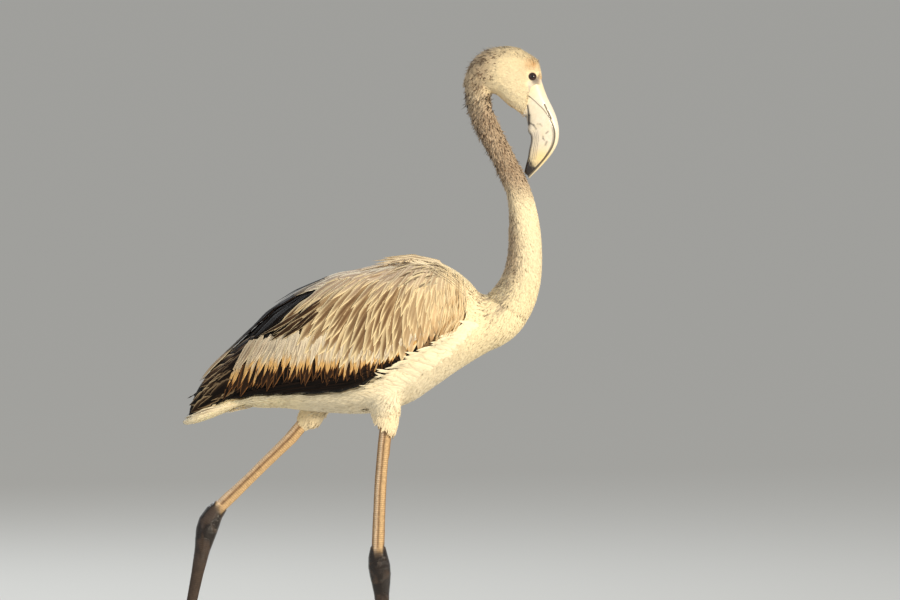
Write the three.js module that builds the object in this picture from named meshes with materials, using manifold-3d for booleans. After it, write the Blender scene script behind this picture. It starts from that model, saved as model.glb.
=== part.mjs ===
// A young greater flamingo at life size, standing in mid stride.
// Millimetres. +X is the way the bird faces, +Y is its left, +Z is up, and the floor is z = 0.
// The body is one lofted form, parted by thin cuts into head, neck lengths, trunk and limbs.
// The folded wings are the layer between that form and a wider outer form round it.

import * as THREE from 'three';
import { mergeVertices } from 'three/addons/utils/BufferGeometryUtils.js';
import Module from 'manifold-3d';

const wasm = await Module();
wasm.setup();

// ---------------------------------------------------------------- driving sizes
const GAP = 0.3; // clear space between neighbouring solids
const BODY_SIDES = 20; // facets round the trunk
const NECK_SIDES = 16;
const LIMB_SIDES = 12;
const TOE_SIDES = 6;

// Slices across the body: [x, top, bottom, half width].
const HEAD_SLICES = [
  [129.5, 869, 859, 4],
  [132.5, 875, 852.5, 9],
  [137.5, 885, 852.5, 14],
  [150, 899.5, 852.5, 19],
  [162.5, 905.5, 851, 21.5],
  [175, 908.5, 845, 22.5],
  [187.5, 909, 832.5, 21.5],
  [197.5, 907.5, 826, 19.5],
  [206, 902.5, 821, 17.5],
  [215, 897, 819, 15.5],
  [222.5, 890, 819, 13.5],
  [228.5, 877, 821, 11],
];
const TRUNK_SLICES = [
  [-176, 490, 456, 22],
  [-150, 522, 459, 38],
  [-125, 549, 456, 50],
  [-94, 576, 456, 61],
  [-56, 601, 451, 71],
  [-19, 615, 449, 77],
  [19, 622, 449, 78],
  [56, 630, 458, 75],
  [87.5, 636, 479, 69],
  [112.5, 629, 496, 61],
  [132.5, 612.5, 510, 51],
  [147.5, 601, 519, 40],
  [162, 596, 527, 33],
  [177, 584, 538, 27],
];
const OUTER_SLICES = [
  [-218, 458, 438, 10],
  [-200, 491, 442, 24],
  [-175, 521, 446, 38],
  [-150, 541, 448, 50],
  [-125, 569, 448, 61],
  [-94, 592.5, 444, 72],
  [-56, 614, 439, 81],
  [-19, 629, 436, 87],
  [19, 632.5, 436, 88],
  [56, 641, 445, 84],
  [87.5, 642, 467, 77],
  [112.5, 634, 490, 69],
  [135, 616, 503, 57],
  [153, 601, 516, 39],
];
const TRUNK_NOSE = 12; // length over which each end of the trunk rounds off
const TRUNK_RUMP = 14;
const OUTER_NOSE = 6;
const OUTER_RUMP = 8;
const HEAD_NOSE = 7;
const HEAD_NAPE = 9;
const BODY_STEPS = 16; // slices along the trunk
const HEAD_STEPS = 11;

// The neck's course from inside the head down into the breast: [x, z, half depth, half width].
const NECK_COURSE = [
  [160, 871, 17, 15],
  [147.5, 852, 16, 15],
  [152.5, 826, 14.8, 14],
  [161, 804, 14, 13.2],
  [174, 779, 13.6, 12.8],
  [186, 754, 13.8, 13],
  [197.5, 729, 15, 14.2],
  [203.5, 704, 17.5, 16.2],
  [206, 676, 20, 18.5],
  [206.5, 647.5, 21.5, 21],
  [202, 616, 24.5, 25],
  [189, 587.5, 29, 30],
  [168, 565, 32, 35],
  [137.5, 553, 31, 38],
];
const NECK_CUTS = [1, 4, 8, 11]; // places in NECK_COURSE where the lengths part
const NECK_STEPS = 6;
const NAPE_STEPS = 3;
const THROAT_STEPS = 5;
const NECK_SPREAD_STEPS = 12; // slices of the neck's lower part where the wings keep clear of it

// Where feathers stop and bare bill begins, in side view, from the forehead to the chin.
const FACE_EDGE = [
  [228, 859], [220, 862], [212.5, 857.5], [212, 851], [210, 846], [209, 836], [207.5, 821],
];
const CHIN_DROP = 21; // how far the face's region runs on below the chin
const BROW_REACH = 17; // how far it runs on ahead of the forehead
// The bill in pairs: [ridge x, ridge z, gape x, gape z, half width].
const UPPER_BILL = [
  [225, 871, 201, 853, 12.2],
  [231, 853, 213, 845, 12.6],
  [236, 841, 221, 837.5, 12.6],
  [241, 831, 229, 829.5, 12.2],
  [246, 818, 236.5, 818.5, 11.4],
  [248.7, 803, 241.8, 802.5, 10.4],
  [247, 788, 240.8, 788.5, 9.2],
  [239.5, 774, 235, 776.5, 7.6],
  [225.5, 757.5, 222.5, 760.5, 5.2],
  [211.5, 743.5, 209.5, 746.5, 2.4],
];
const LOWER_BILL = [
  [204.5, 850, 204.5, 822, 11.2],
  [213, 845.6, 207.5, 819, 12],
  [221.5, 838, 209.5, 811, 13],
  [229.8, 829.8, 211, 802.5, 13.8],
  [237.3, 818.3, 213.5, 796, 14],
  [242.6, 802.8, 213, 788, 13.2],
  [241.6, 788.5, 211, 779, 11.8],
  [235.6, 776.2, 209.7, 770, 9.8],
  [226.5, 764, 207.8, 762.5, 7.6],
  [217.5, 754.3, 206, 755, 5.2],
  [209.6, 746.9, 205.3, 750.5, 2.6],
];
const BILL_STEPS = 11;
const BILL_ARC = 8; // facets over the rounded side of the bill
const BILL_SQUARENESS = 0.8; // 1 is an oval section, less is a squarer one
const NOSTRIL = { x: 238.5, z: 825, length: 17, height: 1.8, depth: 3, side: 9.3, lean: -1.12 };

const EYE = { x: 215, z: 871, side: 9.6, radius: 6.4, sides: 12, bands: 8 };

// The folded wing in side view: lower edge from the tip forward, then the front edge upward.
const WING_LOWER_EDGE = [
  [-216, 447], [-200, 455], [-184, 462], [-165, 468], [-125, 474.5], [-75, 477], [-37.5, 477.5],
  [-10, 482.5], [19, 497], [44, 513], [69, 527], [94, 540.5], [119, 554],
];
const WING_FRONT_EDGE = [[131, 570], [134.5, 590], [132, 612]];
// The line above which the long flight feathers give way to coverts and scapulars.
const COVERT_EDGE = [
  [-230, 520], [-165, 481], [-140, 489], [-112, 491], [-75, 499], [-44, 502], [-10, 507], [28, 518],
  [75, 540], [110, 560],
];
const FEATHER_TIP = 28; // width of one feather end along an edge
const TIP_DEPTH = 3.6; // how far each feather end stands out
const TIP_PLACE = 0.4; // where along its own width it stands out most
// Half width of the mantle, the strip of back left bare between the wings: [x, half width].
const MANTLE = [[-94, 0.6], [-50, 11], [0, 20], [50, 27], [100, 36], [150, 48]];

const EDGE_RISE = 15; // how much an edge goes on rising past its front end
const MANTLE_BASE = 590; // the mantle's layer lies above this height
const MANTLE_FLOOR = 500; // the gap it leaves between the wings reaches down past here
const MANTLE_EDGE = 0.2; // half width at which it runs out to a point

// The tail: [x, z, half depth, half width].
const TAIL_COURSE = [
  [-140, 476, 13, 27],
  [-165, 465, 12, 27],
  [-190, 452, 9.5, 24],
  [-208, 443, 6.5, 19],
  [-221, 437.5, 2.6, 11],
];
const TAIL_STEPS = 8;

// Legs, from inside the belly to above the toes: [x, y, z, half depth, half width].
const RIGHT_LEG = [
  [28, -38, 492, 26, 22],
  [32, -36, 456, 20, 18],
  [32.5, -35, 432, 15.5, 15],
  [30.5, -34, 415, 10.2, 10.2],
  [27.8, -33, 395, 8, 8],
  [25.4, -30.5, 355, 7.7, 7.4],
  [23.6, -28, 312, 7.9, 7],
  [22.6, -26, 284, 9.5, 8],
  [23, -24.5, 268, 13.2, 10.4],
  [24.8, -23.5, 254, 14, 10.8],
  [26.4, -22.5, 236, 11.6, 9],
  [27.6, -21.5, 214, 8.6, 6.8],
  [33.5, -16.5, 130, 6.3, 5.4],
  [40, -11, 52, 6.4, 5.6],
  [43, -8.5, 24, 7.4, 6.8],
];
const LEFT_LEG = [
  [-20, 38, 503, 24, 22],
  [-44, 37, 474, 21, 19],
  [-61, 36, 447, 15, 15],
  [-72, 35, 432, 10.5, 10.5],
  [-87, 34, 416, 8, 8],
  [-118, 32, 386, 7.4, 7.4],
  [-150, 29.5, 354.5, 7.4, 7],
  [-174, 27.5, 332, 9.3, 8],
  [-186, 26.5, 318, 13.2, 10.4],
  [-192, 26, 303, 14, 10.8],
  [-196, 25.5, 286, 11.6, 9],
  [-200.5, 25, 265, 8.6, 6.8],
  [-217, 22, 184, 6.3, 5.4],
  [-234, 19, 103, 6.4, 5.6],
  [-241, 18, 74, 7.4, 6.8],
];
const LEG_CUTS = [3, 7, 10.5]; // thigh | shank | ankle | tarsus, as places in the leg's list
const LEG_STEPS = [6, 6, 5, 7];

// Feet. A raised foot hangs down to the floor at the angle `slope` for the length `bend`, and
// its toes lie flat from there; a planted foot lies flat all along.
const RIGHT_FOOT = { x: 43.8, y: -8, slope: 0, bend: 0, yaw: -0.03 };
const LEFT_FOOT = { x: -243.5, y: 18, slope: 1.3, bend: 64, yaw: 0.02 };
const TOES = [
  { name: 'middle', length: 86, turn: 0 },
  { name: 'outer', length: 80, turn: 0.42 },
  { name: 'inner', length: 74, turn: -0.42 },
];
const TOE_ROOT = 6.2; // half depth of a toe at its root, at its claw's root and at its claw's point
const TOE_TIP = 2;
const CLAW_POINT = 0.6;
const CLAW_START = 0.92;
const KNUCKLE = 8.4; // radius where the toes meet the leg
const KNUCKLE_SIDES = 9;
const KNUCKLE_BANDS = 6;
const ROOT_LIFT = 6.5; // height of the knuckle's middle above the sole's upper end
const TOE_STOPS = [0, 0.22, 0.44, 0.66, 0.92, 1]; // places along a toe, the last two its claw
const WEB_THICKNESS = 1.5;
const WEB_LIFT = 0.6; // height of the web's lower side above the sole
const WEB_START = 0.1; // how far along each toe the web begins and ends
const WEB_REACH = 0.9;
const WEB_COLUMNS = 6;
const WEB_ROWS = 4;
const WEB_NOTCH = 0.2; // how far its front edge curves back between toes
const HALLUX = { back: 4, down: 2, reach: 12, drop: 8.3, inward: 2, lowest: 2.4, root: 3.4, tip: 1.4 };
const TOE_FLAT = 0.62; // how high a toe's middle lies above the sole, in parts of its half depth
const TOE_TAPER = 0.7;
const BEND_ROUND = 9; // radius of the bend in a raised foot

const SHIN_END = { depth: 7.4, width: 6.8 }; // half sizes where the shin runs down to the knuckle
const SHIN_FOOT = { depth: 7.6, width: 7.2 };
const STEP = 1; // short way along a course, over which its direction is taken
const CENTRING = 5.6; // moves the bird forward, so that x = 0 is midway along its length
const BLOCK = 2500; // a block larger than the bird, for half spaces
// Clear room round the bird for the outlines that part one region from another.
const ROOM = { side: 150, back: -260, front: 160, top: 760, headSide: 40, headBack: 100, headTop: 930 };

// ---------------------------------------------------------------- solids and booleans
function solid(geometry) {
  const bare = geometry.index ? geometry.clone() : mergeVertices(geometry.clone());
  bare.deleteAttribute('normal');
  bare.deleteAttribute('uv');
  const merged = mergeVertices(bare, 1e-5);
  const mesh = new wasm.Mesh({
    numProp: 3,
    vertProperties: new Float32Array(merged.attributes.position.array),
    triVerts: new Uint32Array(merged.index.array),
  });
  return new wasm.Manifold(mesh);
}

function joined(solids) {
  return solids.reduce((whole, next) => whole.add(next));
}

function named(name, body, colour, roughness = 0.9) {
  const mesh = body.getMesh();
  const geometry = new THREE.BufferGeometry();
  geometry.setAttribute('position', new THREE.BufferAttribute(new Float32Array(mesh.vertProperties), 3));
  geometry.setIndex(new THREE.BufferAttribute(new Uint32Array(mesh.triVerts), 1));
  geometry.computeVertexNormals();
  const material = new THREE.MeshStandardMaterial({ color: colour, roughness, metalness: 0 });
  const result = new THREE.Mesh(geometry, material);
  result.name = name;
  result.position.x = CENTRING;
  return result;
}

// A closed body through rings of equal count, each end closed by a fan round its middle.
function loft(rings) {
  const sides = rings[0].length;
  const positions = [];
  const faces = [];
  for (const ring of rings) {
    for (const point of ring) {
      positions.push(point.x, point.y, point.z);
    }
  }
  for (let r = 0; r < rings.length - 1; r += 1) {
    for (let i = 0; i < sides; i += 1) {
      const here = r * sides + i;
      const beside = r * sides + ((i + 1) % sides);
      faces.push(here, beside, beside + sides);
      faces.push(here, beside + sides, here + sides);
    }
  }
  for (const end of [0, rings.length - 1]) {
    const middle = new THREE.Vector3();
    rings[end].forEach((point) => middle.add(point));
    middle.divideScalar(sides);
    const hub = positions.length / 3;
    positions.push(middle.x, middle.y, middle.z);
    for (let i = 0; i < sides; i += 1) {
      const here = end * sides + i;
      const beside = end * sides + ((i + 1) % sides);
      faces.push(...(end === 0 ? [hub, beside, here] : [hub, here, beside]));
    }
  }
  if (signedVolume(positions, faces) < 0) {
    faces.reverse();
  }
  const geometry = new THREE.BufferGeometry();
  geometry.setAttribute('position', new THREE.Float32BufferAttribute(positions, 3));
  geometry.setIndex(faces);
  return solid(geometry);
}

function signedVolume(positions, faces) {
  const corner = [new THREE.Vector3(), new THREE.Vector3(), new THREE.Vector3()];
  let volume = 0;
  for (let f = 0; f < faces.length; f += 3) {
    corner.forEach((point, i) => point.fromArray(positions, 3 * faces[f + i]));
    volume += corner[0].dot(corner[1].cross(corner[2]));
  }
  return volume;
}

// The half space on the side of a plane that `direction` points to.
function beyond(point, direction) {
  const block = new THREE.BoxGeometry(BLOCK, BLOCK, BLOCK);
  block.translate(0, 0, BLOCK / 2);
  const up = new THREE.Vector3(0, 0, 1);
  block.applyQuaternion(new THREE.Quaternion().setFromUnitVectors(up, direction.clone().normalize()));
  block.translate(point.x, point.y, point.z);
  return solid(block);
}

// A side-view outline of [x, z] points, carried across from y = `from` to y = `to`.
function sidePrism(outline, from, to) {
  const shape = new THREE.Shape(outline.map(([x, z]) => new THREE.Vector2(x, z)));
  const geometry = new THREE.ExtrudeGeometry(shape, { depth: to - from, bevelEnabled: false });
  geometry.rotateX(Math.PI / 2);
  geometry.translate(0, to, 0);
  return solid(geometry);
}

// A top-view outline of [x, y] points, carried up from z = `from` to z = `to`.
function topPrism(outline, from, to) {
  const shape = new THREE.Shape(outline.map(([x, y]) => new THREE.Vector2(x, y)));
  const geometry = new THREE.ExtrudeGeometry(shape, { depth: to - from, bevelEnabled: false });
  geometry.translate(0, 0, from);
  return solid(geometry);
}

// ---------------------------------------------------------------- smooth runs of numbers
// Rows are [key, value, value, ...] with rising keys; the result gives the values at any key.
function smooth(rows) {
  const last = rows.length - 1;
  const slope = (i, v) => {
    const before = rows[Math.max(i - 1, 0)];
    const after = rows[Math.min(i + 1, last)];
    return (after[v] - before[v]) / (after[0] - before[0]);
  };
  return (key) => {
    let i = 0;
    while (i < last - 1 && key > rows[i + 1][0]) {
      i += 1;
    }
    const span = rows[i + 1][0] - rows[i][0];
    const t = (key - rows[i][0]) / span;
    const values = [];
    for (let v = 1; v < rows[i].length; v += 1) {
      const start = (2 * t ** 3 - 3 * t ** 2 + 1) * rows[i][v];
      const leave = (t ** 3 - 2 * t ** 2 + t) * span * slope(i, v);
      const end = (3 * t ** 2 - 2 * t ** 3) * rows[i + 1][v];
      const arrive = (t ** 3 - t ** 2) * span * slope(i + 1, v);
      values.push(start + leave + end + arrive);
    }
    return values;
  };
}

// Puts the distance run so far in front of each row, measured over its first `axes` values.
function byDistance(rows, axes) {
  let run = 0;
  return rows.map((row, i) => {
    if (i > 0) {
      const steps = row.slice(0, axes).map((value, axis) => value - rows[i - 1][axis]);
      run += Math.hypot(...steps);
    }
    return [run, ...row];
  });
}

// The distance at a place in a list, where 2.5 is half way between rows 2 and 3.
function distanceAt(course, place) {
  const low = Math.floor(place);
  const high = Math.min(low + 1, course.length - 1);
  return THREE.MathUtils.lerp(course[low][0], course[high][0], place - low);
}

function spread(from, to, steps) {
  return Array.from({ length: steps + 1 }, (_, i) => from + ((to - from) * i) / steps);
}

// Values from `from` to `to` that crowd together near both ends.
function crowded(from, to, steps) {
  return spread(0, Math.PI, steps).map((a) => from + ((to - from) * (1 - Math.cos(a))) / 2);
}

// How much of the full size is left at `distance` from an end that rounds off over `length`.
function rounding(distance, length) {
  const inside = Math.min(Math.max(distance / length, 0.02), 1);
  return Math.sqrt(1 - (1 - inside) ** 2);
}

// ---------------------------------------------------------------- body forms
function sliceLoft(slices, { steps, sides, front, back, waist, grow = 0 }) {
  const at = smooth(slices);
  const first = slices[0][0] - grow;
  const last = slices[slices.length - 1][0] + grow;
  const rings = crowded(first, last, steps).map((x) => {
    const key = Math.min(Math.max(x, slices[0][0]), slices[slices.length - 1][0]);
    const [top, bottom, half] = at(key);
    const left = Math.min(rounding(last - x, front), rounding(x - first, back));
    const middle = bottom + (top - bottom) * waist;
    return spread(0, 2 * Math.PI, sides).slice(0, sides).map((a) => {
      const rise = Math.sin(a) * (Math.sin(a) > 0 ? top - middle : middle - bottom);
      const y = Math.cos(a) * (half * left + grow);
      return new THREE.Vector3(x, y, middle + rise * left + Math.sin(a) * grow);
    });
  });
  return loft(rings);
}

const trunkShape = { steps: BODY_STEPS, sides: BODY_SIDES, front: TRUNK_NOSE, back: TRUNK_RUMP, waist: 0.5 };
const outerShape = { steps: BODY_STEPS, sides: BODY_SIDES, front: OUTER_NOSE, back: OUTER_RUMP, waist: 0.46 };
const headShape = { steps: HEAD_STEPS, sides: NECK_SIDES, front: HEAD_NOSE, back: HEAD_NAPE, waist: 0.45 };

// A limb round a course of [distance, x, y, z, half depth, half width], between two distances.
function limb(course, from, to, steps, sides) {
  const at = smooth(course);
  const rings = spread(from, to, steps).map((distance) => {
    const [x, y, z, depth, width] = at(distance);
    const before = at(Math.max(distance - STEP, 0));
    const after = at(Math.min(distance + STEP, course[course.length - 1][0]));
    const along = new THREE.Vector3(after[0] - before[0], after[1] - before[1], after[2] - before[2]);
    along.normalize();
    const side = new THREE.Vector3(0, 1, 0).addScaledVector(along, -along.y).normalize();
    const ahead = new THREE.Vector3().crossVectors(along, side);
    return spread(0, 2 * Math.PI, sides).slice(0, sides).map((a) => new THREE.Vector3(x, y, z)
      .addScaledVector(ahead, depth * Math.cos(a))
      .addScaledVector(side, width * Math.sin(a)));
  });
  return loft(rings);
}

// The same course with its limb thicker by the clear gap all round.
function widened(course) {
  return course.map(([distance, x, y, z, depth, width]) => [distance, x, y, z, depth + GAP, width + GAP]);
}

// A course in the bird's own middle plane, made ready for limb().
function middleCourse(rows) {
  return byDistance(rows.map(([x, z, depth, width]) => [x, 0, z, depth, width]), 3);
}

// ---------------------------------------------------------------- head, eyes and bill
const neckCourse = middleCourse(NECK_COURSE);
const neckCuts = NECK_CUTS.map((place) => distanceAt(neckCourse, place));
const neckEnd = neckCourse[neckCourse.length - 1][0];
const chin = FACE_EDGE[FACE_EDGE.length - 1];
const forehead = FACE_EDGE[0];
// All that lies behind the edge of the face, in side view.
const faceBlock = [
  ...FACE_EDGE,
  [chin[0], chin[1] - CHIN_DROP],
  [ROOM.headBack, chin[1] - CHIN_DROP],
  [ROOM.headBack, ROOM.headTop],
  [forehead[0] + BROW_REACH, ROOM.headTop],
  [forehead[0] + BROW_REACH, forehead[1]],
];

function eyeball(side, radius) {
  const ball = new THREE.SphereGeometry(radius, EYE.sides, EYE.bands);
  ball.translate(EYE.x, side * EYE.side, EYE.z);
  return solid(ball);
}

function makeHead() {
  const skull = sliceLoft(HEAD_SLICES, headShape);
  const nape = limb(neckCourse, 0, neckCuts[0] - GAP / 2, NAPE_STEPS, NECK_SIDES);
  const neckBelow = limb(widened(neckCourse), neckCuts[0], neckCuts[1], NECK_STEPS, NECK_SIDES);
  const behindFace = sidePrism(faceBlock, -ROOM.headSide, ROOM.headSide);
  const feathered = skull.add(nape).subtract(neckBelow).intersect(behindFace);
  const sockets = eyeball(1, EYE.radius + GAP).add(eyeball(-1, EYE.radius + GAP));
  return feathered.subtract(sockets);
}

// One half of the bill: flat along the gape and domed away from it. `outward` 1 is the upper
// half, domed to the ridge; -1 is the lower half, domed to the underside.
function billHalf(pairs, outward, grow = 0) {
  const at = smooth(pairs.map((pair, i) => [i, ...pair]));
  const rings = spread(0, pairs.length - 1, BILL_STEPS).map((place) => {
    const [ridgeX, ridgeZ, baseX, baseZ, half] = at(place);
    const flat = outward > 0 ? [baseX, baseZ] : [ridgeX, ridgeZ];
    const dome = outward > 0 ? [ridgeX, ridgeZ] : [baseX, baseZ];
    const extra = grow / Math.hypot(dome[0] - flat[0], dome[1] - flat[1]);
    return spread(0, Math.PI, BILL_ARC).map((a) => {
      const lift = Math.sin(a) ** BILL_SQUARENESS * (1 + 2 * extra) - extra;
      const x = THREE.MathUtils.lerp(flat[0], dome[0], lift);
      const z = THREE.MathUtils.lerp(flat[1], dome[1], lift);
      const y = (half + grow) * Math.sign(Math.cos(a)) * Math.abs(Math.cos(a)) ** BILL_SQUARENESS;
      return new THREE.Vector3(x, y, z);
    });
  });
  return loft(rings);
}

function makeUpperBill(faceKeepOut) {
  const slot = new THREE.SphereGeometry(1, 8, 6);
  slot.scale(NOSTRIL.length / 2, NOSTRIL.depth, NOSTRIL.height / 2);
  slot.rotateY(-NOSTRIL.lean);
  const nearSide = slot.clone().translate(NOSTRIL.x, -NOSTRIL.side, NOSTRIL.z);
  const farSide = slot.clone().translate(NOSTRIL.x, NOSTRIL.side, NOSTRIL.z);
  const whole = billHalf(UPPER_BILL, 1).subtract(faceKeepOut);
  return whole.subtract(solid(nearSide)).subtract(solid(farSide));
}

// The lower half reaches up to the upper half, which lies on it like a lid.
function makeLowerBill(faceKeepOut) {
  return billHalf(LOWER_BILL, -1).subtract(billHalf(UPPER_BILL, 1, GAP)).subtract(faceKeepOut);
}

// ---------------------------------------------------------------- wings and back
// An edge of pointed feather ends, standing out to the right of the way the points run.
function featherEdge(points) {
  const edge = [];
  for (let i = 0; i < points.length - 1; i += 1) {
    const [x0, z0] = points[i];
    const [x1, z1] = points[i + 1];
    const length = Math.hypot(x1 - x0, z1 - z0);
    const tips = Math.max(1, Math.round(length / FEATHER_TIP));
    const out = [(z1 - z0) / length, -(x1 - x0) / length];
    for (let tip = 0; tip < tips; tip += 1) {
      for (const [part, reach] of [[0, 0], [TIP_PLACE, TIP_DEPTH]]) {
        const t = (tip + part) / tips;
        edge.push([x0 + (x1 - x0) * t + out[0] * reach, z0 + (z1 - z0) * t + out[1] * reach]);
      }
    }
  }
  edge.push(points[points.length - 1]);
  return edge;
}

function mantleOutline(shrink) {
  const reach = MANTLE.map(([x, half]) => [x, Math.max(half - shrink, MANTLE_EDGE)]);
  const left = [...reach].reverse();
  return [...reach.map(([x, half]) => [x, -half]), ...left];
}

const outerForm = sliceLoft(OUTER_SLICES, outerShape);
const trunkGrown = sliceLoft(TRUNK_SLICES, { ...trunkShape, grow: GAP });
const neckSpread = limb(neckCourse, neckCuts[2], neckEnd, NECK_SPREAD_STEPS, NECK_SIDES);

function makeTrunk() {
  const barrel = sliceLoft(TRUNK_SLICES, trunkShape);
  const mantle = outerForm.intersect(topPrism(mantleOutline(GAP), MANTLE_BASE, ROOM.top));
  const throat = limb(neckCourse, neckCuts[3] + GAP / 2, neckEnd, THROAT_STEPS, NECK_SIDES);
  return joined([barrel, mantle, throat]).intersect(pastCut(neckCourse, neckCuts[3], GAP / 2));
}

// All that lies further along a course than `offset` past a distance on it.
function pastCut(course, distance, offset) {
  const at = smooth(course);
  const here = at(distance);
  const next = at(distance + STEP);
  const along = new THREE.Vector3(next[0] - here[0], next[1] - here[1], next[2] - here[2]);
  const point = new THREE.Vector3(here[0], here[1], here[2]).addScaledVector(along, offset);
  return beyond(point, along);
}

// Both wings' parts come from here: `side` is -1 for the right wing and 1 for the left.
function wingLayer(side) {
  const shoulder = WING_FRONT_EDGE[WING_FRONT_EDGE.length - 1];
  const sky = [[shoulder[0], ROOM.top], [ROOM.back, ROOM.top], [ROOM.back, WING_LOWER_EDGE[0][1]]];
  const outline = [...featherEdge(WING_LOWER_EDGE), ...WING_FRONT_EDGE, ...sky];
  const [from, to] = side < 0 ? [-ROOM.side, -GAP / 2] : [GAP / 2, ROOM.side];
  return outerForm
    .intersect(sidePrism(outline, from, to))
    .subtract(topPrism(mantleOutline(0), MANTLE_FLOOR, ROOM.top))
    .subtract(trunkGrown)
    .subtract(neckSpread);
}

// All above an edge of feather ends, moved up by `shift`, over the whole width of the bird.
function above(edge, shift) {
  const front = edge[edge.length - 1][1];
  const back = edge[0][1];
  return sidePrism([
    ...featherEdge(edge).map(([x, z]) => [x, z + shift]),
    [ROOM.front, front + EDGE_RISE + shift],
    [ROOM.front, ROOM.top],
    [ROOM.back, ROOM.top],
    [ROOM.back, back + shift],
  ], -ROOM.side, ROOM.side);
}

// ---------------------------------------------------------------- tail, legs and feet
const wingSpace = above(WING_LOWER_EDGE, -GAP);

function makeTail() {
  const course = middleCourse(TAIL_COURSE);
  const end = course[course.length - 1][0];
  return limb(course, 0, end, TAIL_STEPS, NECK_SIDES).subtract(trunkGrown).subtract(wingSpace);
}

// A point of the foot: `along` and `across` lie in the sole, and `lift` is height above it.
function footPoint(foot, along, across, lift) {
  const round = foot.slope === 0 ? 0 : BEND_ROUND;
  const turn = round * Math.tan(foot.slope / 2);
  const down = Math.min(along, foot.bend - turn);
  const arc = Math.min(Math.max(along - foot.bend + turn, 0), round * foot.slope);
  const flat = Math.max(along - foot.bend + turn - round * foot.slope, 0);
  const angle = foot.slope - (round > 0 ? arc / round : 0);
  let ahead = down * Math.cos(foot.slope) + flat;
  let height = (foot.bend - down) * Math.sin(foot.slope);
  if (round > 0) {
    ahead += round * (Math.sin(foot.slope) - Math.sin(angle));
    height -= round * (Math.cos(angle) - Math.cos(foot.slope));
    height = Math.max(height, 0);
  }
  ahead += lift * Math.sin(angle);
  height += lift * Math.cos(angle);
  const x = ahead * Math.cos(foot.yaw) - across * Math.sin(foot.yaw);
  const y = ahead * Math.sin(foot.yaw) + across * Math.cos(foot.yaw);
  return new THREE.Vector3(foot.x + x, foot.y + y, height);
}

// Toes and webs are built with their lower side at lift 0, where the floor cuts them flat.
function toeRing(foot, toe, t, side) {
  const half = t <= CLAW_START
    ? THREE.MathUtils.lerp(TOE_ROOT, TOE_TIP, (t / CLAW_START) ** TOE_TAPER)
    : THREE.MathUtils.lerp(TOE_TIP, CLAW_POINT, (t - CLAW_START) / (1 - CLAW_START));
  const run = toe.length * t;
  const turn = toe.turn * side;
  return spread(0, 2 * Math.PI, TOE_SIDES).slice(0, TOE_SIDES).map((a) => {
    const across = half * Math.cos(a);
    const lift = half * (TOE_FLAT + Math.sin(a));
    return footPoint(
      foot,
      run * Math.cos(turn) - across * Math.sin(turn),
      run * Math.sin(turn) + across * Math.cos(turn),
      lift,
    );
  });
}

// One web from the outer toe across the middle toe to the inner, notched between them.
function makeWeb(foot, side) {
  const [middle, outer, inner] = TOES;
  const rings = spread(-1, 1, WEB_COLUMNS).map((a) => {
    const edgeToe = a < 0 ? outer : inner;
    const share = Math.abs(a);
    const reach = WEB_REACH * (1 - WEB_NOTCH * Math.sin(Math.PI * share));
    const length = THREE.MathUtils.lerp(middle.length, edgeToe.length, share);
    const turn = edgeToe.turn * side * share;
    const lines = spread(WEB_START, reach, WEB_ROWS).map((t) => [
      length * t * Math.cos(turn),
      length * t * Math.sin(turn),
    ]);
    const bottom = lines.map(([along, across]) => footPoint(foot, along, across, WEB_LIFT));
    const top = lines.map(([along, across]) => footPoint(foot, along, across, WEB_LIFT + WEB_THICKNESS));
    return [...bottom, ...top.reverse()];
  });
  return loft(rings);
}

function makeFoot(foot, course, side) {
  const toes = TOES.map((toe) => loft(TOE_STOPS.map((t) => toeRing(foot, toe, t, side))));
  const knuckle = new THREE.SphereGeometry(KNUCKLE, KNUCKLE_SIDES, KNUCKLE_BANDS);
  const rootHeight = foot.bend * Math.sin(foot.slope) + ROOT_LIFT;
  knuckle.translate(foot.x, foot.y, rootHeight);
  const shin = course[course.length - 1];
  const top = [shin[1], shin[2], shin[3], SHIN_END.depth, SHIN_END.width];
  const bottom = [foot.x, foot.y, rootHeight, SHIN_FOOT.depth, SHIN_FOOT.width];
  const stalk = limb(byDistance([top, bottom], 3), GAP, distanceOf(top, bottom), 2, LIMB_SIDES);
  const heel = [foot.x - HALLUX.back, foot.y, rootHeight - HALLUX.down, HALLUX.root, HALLUX.root];
  const point = [
    heel[0] - HALLUX.reach,
    foot.y - side * HALLUX.inward,
    Math.max(rootHeight - HALLUX.drop, HALLUX.lowest),
    HALLUX.tip,
    HALLUX.tip,
  ];
  const hallux = limb(byDistance([heel, point], 3), 0, distanceOf(heel, point), 3, TOE_SIDES);
  const aboveFloor = beyond(new THREE.Vector3(0, 0, 0), new THREE.Vector3(0, 0, 1));
  const whole = joined([...toes, makeWeb(foot, side), solid(knuckle), stalk, hallux]);
  return whole.intersect(aboveFloor).intersect(pastCut(course, shin[0] - STEP, STEP + GAP));
}

function distanceOf(from, to) {
  return Math.hypot(to[0] - from[0], to[1] - from[1], to[2] - from[2]);
}

// ---------------------------------------------------------------- the bird
const CREAM = 0xf6ead2;
const TAN = 0xb79a74;
const UMBER = 0x4a3727;
const BILL_PALE = 0xe9ded8;
const LEG_BROWN = 0xb08d63;
const EYE_DARK = 0x1c1410;
const flamingo = new THREE.Group();

const faceShift = sidePrism(faceBlock.map(([x, z]) => [x + GAP, z - GAP]), -ROOM.headSide, ROOM.headSide);
flamingo.add(named('head', makeHead(), CREAM));
flamingo.add(named('bill_upper', makeUpperBill(faceShift), BILL_PALE, 0.4));
flamingo.add(named('bill_lower', makeLowerBill(faceShift), BILL_PALE, 0.4));
flamingo.add(named('eye_right', eyeball(-1, EYE.radius), EYE_DARK, 0.1));
flamingo.add(named('eye_left', eyeball(1, EYE.radius), EYE_DARK, 0.1));

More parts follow.
